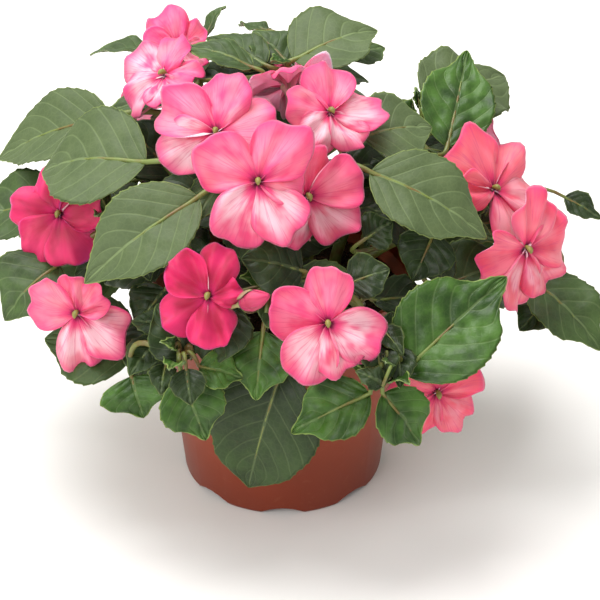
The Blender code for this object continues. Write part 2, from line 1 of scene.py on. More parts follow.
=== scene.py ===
# %% [markdown]
# # A busy lizzie in its plastic pot
# The object is a potted plant: a moulded pot, dark peat, thirteen leafy shoots, eighteen blooms and a bud.
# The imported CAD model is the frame. Each visible piece is made again here from the same sizes, finer than
# the solids are, and takes the place of its CAD node. Sizes are in millimetres until a mesh is made.

# %% The frame and its box
import math
import random
from collections import namedtuple
from functools import partial

import bpy
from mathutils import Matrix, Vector, noise


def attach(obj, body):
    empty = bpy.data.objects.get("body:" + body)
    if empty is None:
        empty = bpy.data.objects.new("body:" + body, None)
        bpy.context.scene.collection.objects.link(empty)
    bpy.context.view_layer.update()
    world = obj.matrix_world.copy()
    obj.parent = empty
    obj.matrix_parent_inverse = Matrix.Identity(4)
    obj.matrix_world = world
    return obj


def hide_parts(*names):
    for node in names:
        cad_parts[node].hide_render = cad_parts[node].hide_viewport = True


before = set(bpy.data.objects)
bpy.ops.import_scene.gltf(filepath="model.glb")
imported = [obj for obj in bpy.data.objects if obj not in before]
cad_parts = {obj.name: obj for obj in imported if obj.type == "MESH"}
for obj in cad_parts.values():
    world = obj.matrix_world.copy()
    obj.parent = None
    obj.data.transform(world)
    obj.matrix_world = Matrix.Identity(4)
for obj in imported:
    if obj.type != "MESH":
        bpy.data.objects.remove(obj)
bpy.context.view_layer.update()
MM = 0.001
scene = bpy.context.scene
print("frame:", len(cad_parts), "CAD nodes")

# %% [markdown]
# ## The camera
# The photograph looks down on the plant by about 32 degrees from roughly arm's length, with a long lens, so
# that the pot hardly narrows. The picture is 600 by 600, so a square field of view is all that it needs.

# %% The camera
VIEW_PITCH = math.radians(32.2)
VIEW_DISTANCE = 950.0
VIEW_CENTRE = (6.8, 62.5)
LENS = 141.77
SENSOR_WIDTH = 36
FARTHEST_SEEN = 20
VIEW_UP = Vector((0, math.sin(VIEW_PITCH), math.cos(VIEW_PITCH)))
VIEW_NEAR = Vector((0, -math.cos(VIEW_PITCH), math.sin(VIEW_PITCH)))
RIGHT = Vector((1, 0, 0))
UP = Vector((0, 0, 1))

camera_data = bpy.data.cameras.new("camera")
camera_data.lens = LENS
camera_data.sensor_width = SENSOR_WIDTH
camera_data.clip_end = FARTHEST_SEEN
camera = bpy.data.objects.new("camera", camera_data)
camera.location = (RIGHT * VIEW_CENTRE[0] + VIEW_UP * VIEW_CENTRE[1] + VIEW_NEAR * VIEW_DISTANCE) * MM
camera.rotation_euler = (math.radians(90) - VIEW_PITCH, 0, 0)
scene.collection.objects.link(camera)
scene.camera = camera
print("camera at", [round(v, 4) for v in camera.location])

# %% [markdown]
# ## Tools for colour and materials
# Every colour is written as the hex value that a paint program shows, and one function turns it to the
# linear light that shaders work in. One small function adds a node with its settings and its links. Each
# material binds it to its own tree and calls it node, so a material reads as a plain list of its nodes.

# %% Colours and nodes
MATH = "ShaderNodeMath"
NOISE = "ShaderNodeTexNoise"
SEPARATE = "ShaderNodeSeparateXYZ"

# A Mix node for colours has its share in input 0, its colours in 6 and 7, and its result in output 2
MIX = "ShaderNodeMix"
COLOURS = {"data_type": "RGBA"}

# A Map Range node takes a value and its range, then the range to give, here in a smooth step
STEP = "ShaderNodeMapRange"
SMOOTH = {"interpolation_type": "SMOOTHSTEP"}


def linear(code):
    """A colour written as sRGB hex, in linear light."""
    found = []
    for i in (0, 2, 4):
        value = int(code[i:i + 2], 16) / 255
        found.append(value / 12.92 if value <= 0.04045 else ((value + 0.055) / 1.055) ** 2.4)
    return (*found, 1.0)


def add(tree, kind, inputs=(), out=0, **settings):
    """One node with its settings. Its inputs come in order or by name, as values, hex colours or links."""
    made = tree.nodes.new(kind)
    for name, value in settings.items():
        setattr(made, name, value)
    for name, value in inputs.items() if isinstance(inputs, dict) else enumerate(inputs):
        if isinstance(value, bpy.types.NodeSocket):
            tree.links.new(value, made.inputs[name])
        else:
            made.inputs[name].default_value = linear(value) if isinstance(value, str) else value
    return made.outputs[out] if made.outputs else None


def new_material(name):
    """An empty material, the call that adds a node to it, and the place on the object that it colours."""
    made = bpy.data.materials.new(name)
    made.use_nodes = True
    made.node_tree.nodes.clear()
    node = partial(add, made.node_tree)
    return made, node, node("ShaderNodeTexCoord", out="Object")


def surface(node, shader, height=None, depth=0.0, strength=1.0):
    """The end of a material: its shader with these inputs, and with a bump this many millimetres deep."""
    if height is not None:
        bump = {"Height": height, "Distance": depth * MM, "Strength": strength}
        shader["Normal"] = node("ShaderNodeBump", bump)
    node("ShaderNodeOutputMaterial", {"Surface": node("ShaderNodeBsdfPrincipled", shader)})


def clouded_material(name, size, first, second, roughness, shine=0.5):
    """A dull material whose colour wanders between two, in patches this many millimetres wide."""
    made, node, spot = new_material(name)
    clouds = node(NOISE, {"Vector": spot, "Scale": 1 / (size * MM), "Detail": 2.0})
    colour = node(MIX, {0: clouds, 6: first, 7: second}, 2, **COLOURS)
    surface(node, {"Base Color": colour, "Roughness": roughness, "Specular IOR Level": shine})
    return made


print("tools for materials ready")

# %% [markdown]
# ## Where things are
# The tables below repeat the CAD model's own: each shoot's path, each leaf's two ends and width, and each
# bloom's eye and facing. Four blooms, the bud and one leaf are turned or sized a little otherwise.
# Most places are given as the viewer sees them, in millimetres right of and above the foot's centre and
# toward the viewer, which is how they were measured from the photograph.

# %% Sizes that the CAD model and this scene share
POT_HEIGHT = 90.0
FOOT_RADIUS = 39.0
BAND_RADIUS = 50.5
BAND_DEPTH = 12.0
WALL_SLOPE = 0.10
WALL = 1.6
FOOT_RING = 2.4
FLOOR_HEIGHT = 4.5
FLOOR_THICKNESS = 1.6
NOTCHES = 8
NOTCH_WIDTH = 18.5
NOTCH_HEIGHT = 3.0
DRAIN_HOLES = 6
DRAIN_RADIUS = 3.5
DRAIN_CIRCLE = 24.0
SOIL_EDGE = 78.5
SOIL_CROWN = 81.5
GAP = 0.3
ROOT_DEPTH = 12.0
STEM_RADIUS = 2.5
STEM_TOP_RADIUS = 1.5
PETIOLE_RADIUS = 1.2
PEDICEL_RADIUS = 0.75
CALYX_RADIUS = 1.7
BASE_POWER = 0.66
TIP_POWER = 1.0
BLADE_WIDEST = BASE_POWER / (BASE_POWER + TIP_POWER)
PETAL_TWIST = 0.15
HUB_DEPTH = 4.5
SPUR_LENGTH = 17.0

# Stalks to low leaves arch over the rim at this height, 6 mm lower than the CAD model's, and a petal
# reaches this far to each side, 2 degrees further
STALK_CLEAR = 101.0
PETAL_SPREAD = math.radians(56)

Shoot = namedtuple("Shoot", "name route")
Leaf = namedtuple("Leaf", "shoot base tip width look arch fold turn wave", defaults=(3.0, 0.12, 0.0, 0.6))
Petal = namedtuple("Petal", "angle size bend", defaults=(0.0,))
FIVE_PETALS = (Petal(0, 0.9), Petal(70, 0.95), Petal(142, 1.0), Petal(-142, 1.0), Petal(-70, 0.95))
BLOOM_FIELDS = "name shoot eye facing length petals cup ruffle"
Bloom = namedtuple("Bloom", BLOOM_FIELDS, defaults=(FIVE_PETALS, 0.05, 0.5))


def seen(right, up, near):
    """The point that the viewer sees this far right of and above the foot's centre, and this much nearer."""
    scale = 1 - near / VIEW_DISTANCE
    x = scale * right + (1 - scale) * VIEW_CENTRE[0]
    y = scale * up + (1 - scale) * VIEW_CENTRE[1]
    return RIGHT * x + VIEW_UP * y + VIEW_NEAR * near


def toward(right, up, near):
    """A direction given as the viewer sees it."""
    return (RIGHT * right + VIEW_UP * up + VIEW_NEAR * near).normalized()


def at(x, y, z):
    """A point in the part's own frame."""
    return Vector((x, y, z))


print("blades are widest", round(BLADE_WIDEST, 2), "of the way to the tip")

# %% The shoots, the leaves and the blooms
# Every shoot rises from its own hole in the soil, then leans out to its tip
SHOOTS = [
    Shoot("shoot_crown_left", [(-10, -4), (-12, -4, 100), (-16, -4, 126), (-15, -4, 141)]),
    Shoot("shoot_crown_right", [(9, -3), (11, -2, 104), (13, -1, 126), (12, 0, 140)]),
    Shoot("shoot_front", [(0, -20), (-1, -29, 96), (-2, -37, 105)]),
    Shoot("shoot_front_left", [(-20, -20), (-26, -36, 96), (-33, -54, 95), (-36, -65, 88)]),
    Shoot("shoot_front_right", [(20, -20), (26, -35, 96), (33, -52, 93), (38, -65, 81)]),
    Shoot("shoot_left", [(-26, 0), (-38, -1, 98), (-54, -3, 107), (-64, -4, 110)]),
    Shoot("shoot_right", [(26, 0), (40, 1, 98), (58, 0, 104), (72, 0, 104)]),
    Shoot("shoot_back_left", [(-17, 19), (-24, 30, 108), (-31, 40, 134), (-32, 44, 146)]),
    Shoot("shoot_back", [(3, 23), (3, 33, 110), (4, 43, 136), (4, 48, 149)]),
    Shoot("shoot_back_right", [(21, 17), (32, 26, 106), (46, 36, 120), (54, 40, 127)]),
    Shoot("shoot_low_left", [(-31, 15), (-35, 20, 98), (-48, 32, 101), (-60, 42, 98)]),
    Shoot("shoot_low_right", [(31, 12), (35, 18, 98), (48, 32, 100), (60, 44, 96)]),
    Shoot("shoot_low_back", [(5, 35), (4, 44, 98), (3, 56, 98), (2, 64, 95)]),
]

# Leaves, with the places of blade base and blade tip
LEAVES = [
    Leaf("shoot_crown_left", seen(-55, 118, 90), seen(-97, 114, 62), 42, "matt", 6),
    Leaf("shoot_crown_left", seen(-34, 104, 98), seen(-80, 69, 98), 34, "matt", 4),
    Leaf("shoot_back_left", seen(-70, 136, 44), seen(-115, 119, 18), 36, "matt", 4),
    Leaf("shoot_left", seen(-89, 101, 45), seen(-127, 94, 25), 34, "plain"),
    Leaf("shoot_left", seen(-90, 77, 58), seen(-112, 54, 60), 34, "plain", 4),
    Leaf("shoot_left", seen(-59, 42, 72), seen(-96, 47, 60), 36, "plain"),
    Leaf("shoot_front_left", seen(-61, 32, 92), seen(-56, 15, 92), 26, "fresh", 2),
    Leaf("shoot_front_left", seen(-51, 52, 76), seen(-59, 30, 78), 22, "deep", 2),
    Leaf("shoot_front_left", seen(-37, 39, 102), seen(-51, 61, 104), 22, "deep", 2),
    Leaf("shoot_front_left", seen(-41, 32, 106), seen(-31, 6, 98), 24, "fresh", 3),
    Leaf("shoot_front_left", seen(-39, 35, 110), seen(-37, 20, 112), 13, "deep", 1),
    Leaf("shoot_front_left", seen(-34, 36, 106), seen(-16, 31, 104), 15, "fresh", 1),
    Leaf("shoot_front_left", seen(-24, 60, 98), seen(-29, 35, 104), 26, "deep", 2),
    Leaf("shoot_front", seen(-8, 50, 100), seen(-11, 22, 98), 24, "fresh", 2),
    Leaf("shoot_front", seen(0, 36, 92), seen(-14, -13, 66), 43, "lower", 5),
    Leaf("shoot_front_right", seen(35, 25, 101), seen(3, 9, 98), 24, "fresh", 2),
    Leaf("shoot_front_right", seen(40, 25, 103), seen(55, 4, 95), 23, "fresh", 2),
    Leaf("shoot_front_right", seen(48, 33, 98), seen(90, 72, 88), 38, "fresh", 3, 0.18),
    Leaf("shoot_crown_right", seen(35, 114, 88), seen(82, 87, 84), 34, "matt", 5),
    Leaf("shoot_crown_right", seen(32, 128, 70), seen(60, 132, 60), 32, "matt"),
    Leaf("shoot_back_right", seen(66, 124, 52), seen(74, 163, 28), 29, "fresh", 2),
    Leaf("shoot_back_right", seen(59, 140, 38), seen(89, 153, 5), 40, "matt", 3, 0.12, 0.0, 2.2),
    Leaf("shoot_back", seen(4, 159, 48), seen(38, 171, 36), 38, "matt", 3),
    Leaf("shoot_back", seen(25, 160, 34), seen(41, 164, 24), 18, "plain", 1),
    Leaf("shoot_back", seen(2, 158, 40), seen(-12, 171, 30), 20, "plain", 1),
    Leaf("shoot_back", seen(-7, 157, 45), seen(-31, 168, 30), 20, "plain", 2),
    Leaf("shoot_back_left", seen(-32, 168, 24), seen(-23, 181, 20), 12, "plain", 1),
    Leaf("shoot_back", seen(-6, 171, 20), seen(-18, 173, 12), 14, "plain", 1),
    Leaf("shoot_back_left", seen(-53, 162, 25), seen(-78, 161, 14), 20, "plain", 2),
    Leaf("shoot_back_left", seen(-12, 156, 66), seen(-40, 164, 60), 15, "plain", 3),
    Leaf("shoot_left", seen(-45, 87, 66), seen(-72, 69, 56), 30, "deep"),
    Leaf("shoot_front_left", seen(-47, 67, 76), seen(-59, 52, 78), 22, "deep", 1),
    Leaf("shoot_front", seen(8, 74, 92), seen(-17, 79, 98), 27, "deep", 2),
    Leaf("shoot_front", seen(26, 69, 98), seen(43, 75, 98), 18, "deep", 1),
    Leaf("shoot_right", seen(33, 87, 84), seen(44, 94, 84), 16, "deep", 1),
    Leaf("shoot_right", seen(61, 90, 78), seen(52, 70, 80), 22, "deep", 2),
    Leaf("shoot_right", seen(60, 66, 56), seen(94, 78, 50), 30, "plain"),
    Leaf("shoot_right", seen(100, 71, 42), seen(128, 42, 48), 30, "plain"),
    Leaf("shoot_right", seen(109, 66, 36), seen(95, 50, 36), 18, "deep", 1),
    Leaf("shoot_right", seen(113, 104, 30), seen(128, 95, 30), 12, "deep", 1),
    Leaf("shoot_front_right", seen(42, 37, 93), seen(44, 58, 88), 20, "deep", 1),
    Leaf("shoot_low_left", at(-72, 44, 92), at(-108, 58, 68), 34, "plain", 5),
    Leaf("shoot_low_left", at(-66, 54, 90), at(-82, 74, 58), 34, "plain", 4),
    Leaf("shoot_low_left", at(-56, 20, 84), at(-96, 10, 56), 32, "plain", 4),
    Leaf("shoot_low_right", at(70, 48, 88), at(104, 58, 64), 34, "plain", 5),
    Leaf("shoot_low_right", at(60, 58, 84), at(70, 76, 50), 34, "plain", 4),
    Leaf("shoot_low_right", at(58, 20, 82), at(98, 26, 56), 34, "plain", 4),
    Leaf("shoot_low_back", at(-16, 60, 86), at(-38, 76, 54), 32, "plain", 4),
    Leaf("shoot_low_back", at(25, 59, 86), at(44, 74, 56), 30, "plain", 4),
    Leaf("shoot_back_left", at(-56, 34, 108), at(-98, 36, 90), 32, "plain", 4),
    Leaf("shoot_back_left", at(-28, 58, 124), at(-32, 83, 100), 30, "plain", 4),
    Leaf("shoot_back", at(4, 56, 112), at(4, 80, 88), 30, "plain", 4),
    Leaf("shoot_back", at(24, 58, 130), at(38, 82, 112), 30, "plain", 4),
    Leaf("shoot_back_right", at(46, 54, 108), at(46, 82, 84), 32, "plain", 4),
    Leaf("shoot_back_right", at(66, 38, 108), at(102, 42, 92), 28, "plain", 4),
]

# Blooms, with the place of the eye, the way it faces and its longest petal
BLOOMS = [
    Bloom("bloom_middle", "shoot_crown_left", seen(-10, 110, 114), toward(0.0, 0.05, 1.0), 24, (
        Petal(36, 1.05), Petal(-62, 1.05), Petal(-150, 1.02, 0.05), Petal(146, 1.0), Petal(96, 0.72, -0.2))),
    Bloom("bloom_middle_right", "shoot_crown_right", seen(10, 104, 99), toward(0.35, -0.15, 0.9), 23, (
        Petal(15, 0.8, 0.1), Petal(76, 1.0, 0.35), Petal(139, 1.0), Petal(-150, 0.9), Petal(-80, 0.8))),
    Bloom("bloom_upper_left", "shoot_crown_left", seen(-27, 130, 95), toward(-0.1, 0.25, 0.95), 24, (
        Petal(5, 1.0, 0.1), Petal(-60, 1.05, 0.1), Petal(66, 1.0, 0.1), Petal(-115, 0.95), Petal(150, 0.8))),
    Bloom("bloom_upper_middle", "shoot_crown_right", seen(2, 149, 60), toward(-0.1, 0.75, -0.35), 20),
    Bloom("bloom_upper_right", "shoot_crown_right", seen(19, 138, 82), toward(0.35, 0.3, 0.85), 20, (
        Petal(25, 1.05), Petal(100, 1.05, 0.1), Petal(160, 0.85, 0.1), Petal(-60, 0.9), Petal(-130, 0.85))),
    Bloom("bloom_high_left", "shoot_back_left", seen(-48, 153, 66), toward(-0.5, 0.5, 0.7), 21, (
        Petal(-100, 1.05), Petal(-45, 0.9, 0.1), Petal(-155, 0.95, 0.1), Petal(55, 0.7), Petal(125, 0.75))),
    Bloom("bloom_highest", "shoot_back_left", seen(-42, 164, 44), toward(0.1, 0.3, 0.9), 15, (
        Petal(-20, 1.15, 0.2), Petal(-82, 1.0), Petal(48, 0.9, 0.1), Petal(112, 0.85, 0.1),
        Petal(175, 0.8))),
    Bloom("bloom_far_left", "shoot_left", seen(-90, 97, 60), toward(-0.3, -0.05, 0.95), 20, (
        Petal(-15, 0.95), Petal(68, 1.0), Petal(148, 1.05), Petal(-152, 1.05), Petal(-88, 1.0)), 0.2),
    Bloom("bloom_low_left", "shoot_left", seen(-83, 57, 82), toward(-0.25, -0.2, 0.9), 20, (
        Petal(-78, 1.05, 0.1), Petal(-22, 0.75, 0.3), Petal(42, 0.75, 0.3), Petal(118, 1.15),
        Petal(172, 1.1))),
    Bloom("bloom_far_right", "shoot_right", seen(85, 107, 54), toward(0.6, 0.3, 0.7), 25, (
        Petal(0, 1.05), Petal(58, 1.0), Petal(118, 1.05), Petal(175, 1.15), Petal(-70, 0.7, 0.3))),
    Bloom("bloom_low_right", "shoot_right", seen(98, 83, 71), toward(0.6, -0.25, 0.75), 23, (
        Petal(35, 1.0), Petal(92, 1.05), Petal(150, 1.1), Petal(-160, 1.1), Petal(-85, 1.0))),
    Bloom("bloom_bottom_right", "shoot_front_right", seen(62, 25, 76), toward(0.3, -0.45, 0.8), 20),
    Bloom("bloom_deep_pink", "shoot_front", seen(-30, 64, 111), toward(-0.25, 0.0, 0.95), 17, (
        Petal(-52, 1.15, 0.1), Petal(5, 1.1, 0.1), Petal(68, 0.75, 0.3), Petal(165, 1.1),
        Petal(-135, 1.15)), 0.2),
    Bloom("bloom_front", "shoot_front", seen(18, 53, 114), toward(0.05, -0.05, 1.0), 21, (
        Petal(3, 0.98, 0.1), Petal(-76, 1.1), Petal(-147, 1.15), Petal(166, 0.95, 0.1), Petal(108, 1.02))),
    Bloom("bloom_back_left", "shoot_back_left", at(-62, 66, 120), Vector((-0.6, 0.65, 0.45)), 20),
    Bloom("bloom_back_high", "shoot_back", at(-2, 72, 136), Vector((0.0, 0.85, 0.45)), 19),
    Bloom("bloom_back_low", "shoot_low_back", at(4, 74, 82), Vector((0.1, 0.9, 0.25)), 19),
    Bloom("bloom_back_right", "shoot_back_right", at(74, 64, 114), Vector((0.6, 0.65, 0.4)), 21),
]
BUD = Bloom("bud", "shoot_front", seen(-13, 62, 117), toward(0.8, 0.25, 0.5), 13)
print("tables:", len(SHOOTS), "shoots,", len(LEAVES), "leaves,", len(BLOOMS), "blooms")

# %% [markdown]
# ## Tools for shapes
# A leaf, a petal and a stalk are all grids of points. A sheet is made as a closed shell, the grid and the
# same grid a little below it, sharing their outer edge, so it has a real thickness and a fine margin. A
# stalk is rings of points along its path. Each point also carries two triples of numbers that tell the
# materials where on the leaf or petal it lies, because a pattern of veins follows the surface.

# %% Shapes as lists of points and faces
Shape = namedtuple("Shape", "points faces finishes place look")
NO_MARK = (0.0, 0.0, 0.0)
SAME_POINT = 1e-6


def new_shape():
    """An empty shape."""
    return Shape([], [], [], [], [])


def put(shape, point, place=NO_MARK, look=NO_MARK):
    """Add a point with its marks, and say its number."""
    shape.points.append(point)
    shape.place.append(place)
    shape.look.append(look)
    return len(shape.points) - 1


def face(shape, loop, finish=0):
    """Add a face, leaving out points that it names twice."""
    kept = list(dict.fromkeys(loop))
    if len(kept) > 2:
        shape.faces.append(kept)
        shape.finishes.append(finish)


def add_sheet(shape, grid, places, looks, below, finish, under):
    """A thin closed sheet from a grid of points with their marks, whose end rows may be a single point."""
    rows = len(grid)
    columns = len(grid[0])
    top = {}
    bottom = {}
    for i in range(rows):
        pole = (grid[i][0] - grid[i][-1]).length < SAME_POINT
        for j in range(columns):
            if pole and j:
                top[i, j] = top[i, 0]
                bottom[i, j] = top[i, 0]
                continue
            top[i, j] = put(shape, grid[i][j], places[i][j], looks[i][j])
            edge = pole or i in (0, rows - 1) or j in (0, columns - 1)
            bottom[i, j] = top[i, j] if edge else put(shape, grid[i][j] + below, places[i][j], looks[i][j])
    for i in range(rows - 1):
        for j in range(columns - 1):
            face(shape, (top[i, j], top[i, j + 1], top[i + 1, j + 1], top[i + 1, j]), finish)
            face(shape, (bottom[i, j], bottom[i + 1, j], bottom[i + 1, j + 1], bottom[i, j + 1]), under)


def add_stalk(shape, path, radii, sides, finish, look=NO_MARK):
    """A round stalk along a path, closed at both ends."""
    count = len(path)
    across = None
    rings = []
    for i, point in enumerate(path):
        ahead = (path[min(i + 1, count - 1)] - path[max(i - 1, 0)]).normalized()
        if across is None:
            across = ahead.orthogonal().normalized()
        across = (across - ahead * across.dot(ahead)).normalized()
        beside = ahead.cross(across)
        ring = []
        for k in range(sides):
            angle = 2 * math.pi * k / sides
            place = point + (across * math.cos(angle) + beside * math.sin(angle)) * radii[i]
            ring.append(put(shape, place, (i / (count - 1), angle, 0.0), look))
        rings.append(ring)
    for lower, upper in zip(rings, rings[1:]):
        for k in range(sides):
            j = (k + 1) % sides
            face(shape, (lower[k], lower[j], upper[j], upper[k]), finish)
    for ring, point, turn in ((rings[0], path[0], -1), (rings[-1], path[-1], 1)):
        middle = put(shape, point, NO_MARK, look)
        for k in range(sides):
            face(shape, (ring[k], ring[(k + 1) % sides], middle)[::turn], finish)


def finished(name, shape, materials):
    """A smooth mesh object in metres, with its marks as attributes and its faces outward."""
    mesh = bpy.data.meshes.new(name)
    mesh.from_pydata([point * MM for point in shape.points], [], shape.faces)
    for mark, values in (("place", shape.place), ("look", shape.look)):
        layer = mesh.attributes.new(mark, "FLOAT_VECTOR", "POINT")
        layer.data.foreach_set("vector", [number for value in values for number in value])
    for item in materials:
        mesh.materials.append(item)
    mesh.polygons.foreach_set("material_index", shape.finishes)
    mesh.polygons.foreach_set("use_smooth", [True] * len(shape.faces))
    mesh.update()
    made = bpy.data.objects.new(name, mesh)
    scene.collection.objects.link(made)
    return made


def bezier(start, control, end, steps):
    """Points along a quadratic curve."""
    shares = (i / steps for i in range(steps + 1))
    return [start * (1 - t) ** 2 + control * 2 * t * (1 - t) + end * t ** 2 for t in shares]


def smooth_path(points, steps):
    """A smooth curve through all the points."""
    ends = [points[0] * 2 - points[1]] + points + [points[-1] * 2 - points[-2]]
    found = []
    for a, b, c, d in zip(ends, ends[1:], ends[2:], ends[3:]):
        for i in range(steps):
            t = i / steps
            found.append(0.5 * (2 * b + (c - a) * t + (2 * a - 5 * b + 4 * c - d) * t * t
                                + (3 * b - a - 3 * c + d) * t ** 3))
    return found + [points[-1]]


def tapered(start, end, count):
    """Radii from one to another in even steps."""
    return [start + (end - start) * i / (count - 1) for i in range(count)]


print("tools for shapes ready")

# %% [markdown]
# ## The leaf materials
# A busy lizzie's leaf is a thin fleshy blade under a waxy skin. Old leaves are matt grey-green; young ones
# at the shoot tips are glossier and brighter, with puckers between their sunken veins. The upper face gets
# both finishes in one material, mixed by each leaf's own number. The underside is paler, with raised veins.
# The net of finest veins has a mesh of about 1 mm on a real leaf, and is drawn twice as coarse to show.

# %% Leaf materials
GREY_GREEN = "5B6A42"
GREY_SHADE = "40502E"
FRESH_GREEN = "466A26"
FRESH_SHADE = "203C0D"
# Painted shade: leaves deep in the plant and low leaves are darkened toward this near-black green
PAINTED_SHADE_GREEN = "0F1B06"
VEIN_GREEN = "8C9E6A"
MARGIN_GREEN = "9FB25E"
UNDER_GREEN = "788F58"
UNDER_SHADE = "657E48"
UNDER_VEIN = "A9B98F"
SIDE_VEIN_WIDTH = 0.09
VEINLET_MESH = 2.2
BLOTCH_SIZE = 9.0
LEAF_GRAIN = 1.6
LEAF_BUMP = 0.22


def leaf_material(name, underside):
    """
    A leaf's face. Its mark "place" is the share of the way to the tip, mm off the midrib and the count of
    side veins; its mark "look" is how fresh it is, how much painted shade it has, and mm to the margin.
    """
    made, node, spot = new_material(name)
    place = node("ShaderNodeAttribute", out="Vector", attribute_name="place")
    look = node("ShaderNodeAttribute", out="Vector", attribute_name="look")
    along, rib, vein = node(SEPARATE, (place,)).node.outputs
    tone, dark, to_margin = node(SEPARATE, (look,)).node.outputs

    # The midrib narrows toward the tip, and the side veins and the net between them are fainter
    off_rib = node(MATH, (rib,), operation="ABSOLUTE")
    rib_width = node(MATH, (along, -0.7, 1.05), operation="MULTIPLY_ADD")
    past_rib = node(MATH, (off_rib, rib_width), operation="SUBTRACT")
    rib_line = node(STEP, (past_rib, -0.35, 0.15, 1.0, 0.0), **SMOOTH)
    off_vein = node(MATH, (vein, 0.5), operation="PINGPONG")
    vein_line = node(STEP, (off_vein, 0.01, SIDE_VEIN_WIDTH, 0.55, 0.0), **SMOOTH)
    mesh_scale = {"Vector": spot, "Scale": 1 / (VEINLET_MESH * MM)}
    off_mesh = node("ShaderNodeTexVoronoi", mesh_scale, feature="DISTANCE_TO_EDGE")
    mesh_line = node(STEP, (off_mesh, 0.0, 0.16, 0.13, 0.0), **SMOOTH)
    lines = node(MATH, (rib_line, vein_line), operation="MAXIMUM")
    lines = node(MATH, (lines, mesh_line), operation="MAXIMUM")
    clouds = node(NOISE, {"Vector": spot, "Scale": 1 / (BLOTCH_SIZE * MM), "Detail": 3.0})
    if underside:
        colour = UNDER_GREEN
        veins = node(MATH, (lines, 0.6), operation="MULTIPLY")
        layers = ((clouds, UNDER_SHADE), (veins, UNDER_VEIN))
    else:
        blotches = node(STEP, (clouds, 0.30, 0.72), **SMOOTH)
        fresh = node(MIX, {0: blotches, 6: FRESH_GREEN, 7: FRESH_SHADE}, 2, **COLOURS)
        # Painted shade: each leaf's share of shade darkens it toward near-black green, and every blade
        # darkens a little more toward its base, where it runs into the plant's shade; the veins and the
        # margin line fade with it
        shade = node(MATH, (dark, 0.92), operation="MULTIPLY")
        near_base = node(STEP, (along, 0.0, 0.85, 0.75, 0.0), **SMOOTH)
        painted_base_shade = node(MATH, (near_base, node(MATH, (dark, 0.12), operation="ADD")), operation="MULTIPLY")
        quiet = node(MATH, (tone, -0.16, 0.38), operation="MULTIPLY_ADD")
        quiet = node(MATH, (dark, -0.12, quiet), operation="MULTIPLY_ADD")
        veins = node(MATH, (lines, quiet), operation="MULTIPLY")
        at_margin = node(STEP, (to_margin, 0.12, 0.5, 1.0, 0.0), **SMOOTH)
        bright = node(MATH, (dark, -0.40, 0.5), operation="MULTIPLY_ADD")
        margin = node(MATH, (at_margin, bright), operation="MULTIPLY")
        colour = GREY_GREEN
        layers = ((clouds, GREY_SHADE), (tone, fresh), (shade, PAINTED_SHADE_GREEN), (painted_base_shade, PAINTED_SHADE_GREEN),
                  (veins, VEIN_GREEN), (margin, MARGIN_GREEN))
    for share, over in layers:
        colour = node(MIX, {0: share, 6: colour, 7: over}, 2, **COLOURS)

    # The skin's wax is half dull, less so on young leaves; veins are sunk above and stand out below
    dull = node(MATH, (tone, -0.14, 0.62), operation="MULTIPLY_ADD")
    roughness = node(MATH, (clouds, -0.10, dull), operation="MULTIPLY_ADD")
    fine = node(NOISE, {"Vector": spot, "Scale": 1 / (LEAF_GRAIN * MM), "Detail": 2.0})
    pores = node(MATH, (fine, 0.35), operation="MULTIPLY")
    height = node(MATH, (lines, 1.0 if underside else -1.0, pores), operation="MULTIPLY_ADD")
    shader = {"Base Color": colour, "Roughness": roughness, "Specular IOR Level": 0.3}
    surface(node, shader, height, LEAF_BUMP, 0.8)
    return made


leaf_face = leaf_material("fleshy_leaf_upper_face", False)
leaf_back = leaf_material("fleshy_leaf_underside", True)
print("leaf materials:", leaf_face.name, "and", leaf_back.name)

# %% [markdown]
# The stems and stalks are full of water and nearly see-through, so they look wet and shine a little. They
# flush reddish in patches of about 7 mm, and have fine specks along their skin.

# %% Stem and stalk materials
FLUSH_SIZE = 7.0
SPECK_SIZE = 0.9
SPECK_GREEN = "6E7F3A"


def stalk_material(name, pale, flushed):
    """A juicy stalk's smooth skin, with a flush in patches."""
    made, node, spot = new_material(name)
    patches = node(NOISE, {"Vector": spot, "Scale": 1 / (FLUSH_SIZE * MM), "Detail": 3.0})
    fine = node(NOISE, {"Vector": spot, "Scale": 1 / (SPECK_SIZE * MM), "Detail": 2.0})
    flush = node(STEP, (patches, 0.40, 0.68), **SMOOTH)
    specks = node(MATH, (fine, 0.35), operation="MULTIPLY")
    colour = pale
    for share, over in ((flush, flushed), (specks, SPECK_GREEN)):
        colour = node(MIX, {0: share, 6: colour, 7: over}, 2, **COLOURS)
    surface(node, {"Base Color": colour, "Roughness": 0.42, "Specular IOR Level": 0.5}, fine, 0.08, 0.6)
    return made


stem_skin = stalk_material("succulent_stem_skin", "6F7D3A", "6E4B28")
pedicel_skin = stalk_material("bloom_stalk_skin", "9CB06A", "A0806A")
print("stalk materials:", stem_skin.name, "and", pedicel_skin.name)

# %% [markdown]
# ## The leaves and stems
# Each blade is a grid that follows the CAD blade's curve. What is added is what makes it a leaf: the
# margin's small teeth, a pointed tip, side veins that leave the midrib and arch forward, the puckers
# between them and a slow wave of the whole edge. The shape of a single blade comes from a few formulas,
# so a loop of Python over the table of leaves is clearer here than a node tree.

# %% How one blade is shaped
TOOTH_PITCH = 3.8
TOOTH_ROWS = 5
TOOTH_SIZE = 0.6
LEAF_COLUMNS = 26
SMALL_LEAF_COLUMNS = 14
LEAF_THICKNESS = 0.45
VEIN_SPACING = 8.2
POINT_START = 0.68
RIB_GROOVE = (0.55, 0.9)
VEIN_GROOVE = (0.22, 0.7)
QUILTING = 0.55
PUCKER_HEIGHT = 1.3
PUCKER_SIZE = (5.0, 4.5)
SLOW_WAVE = 2.6
VEIN_LEAN = 0.26
VEIN_ARCH = 0.10
VEIN_START = 0.04
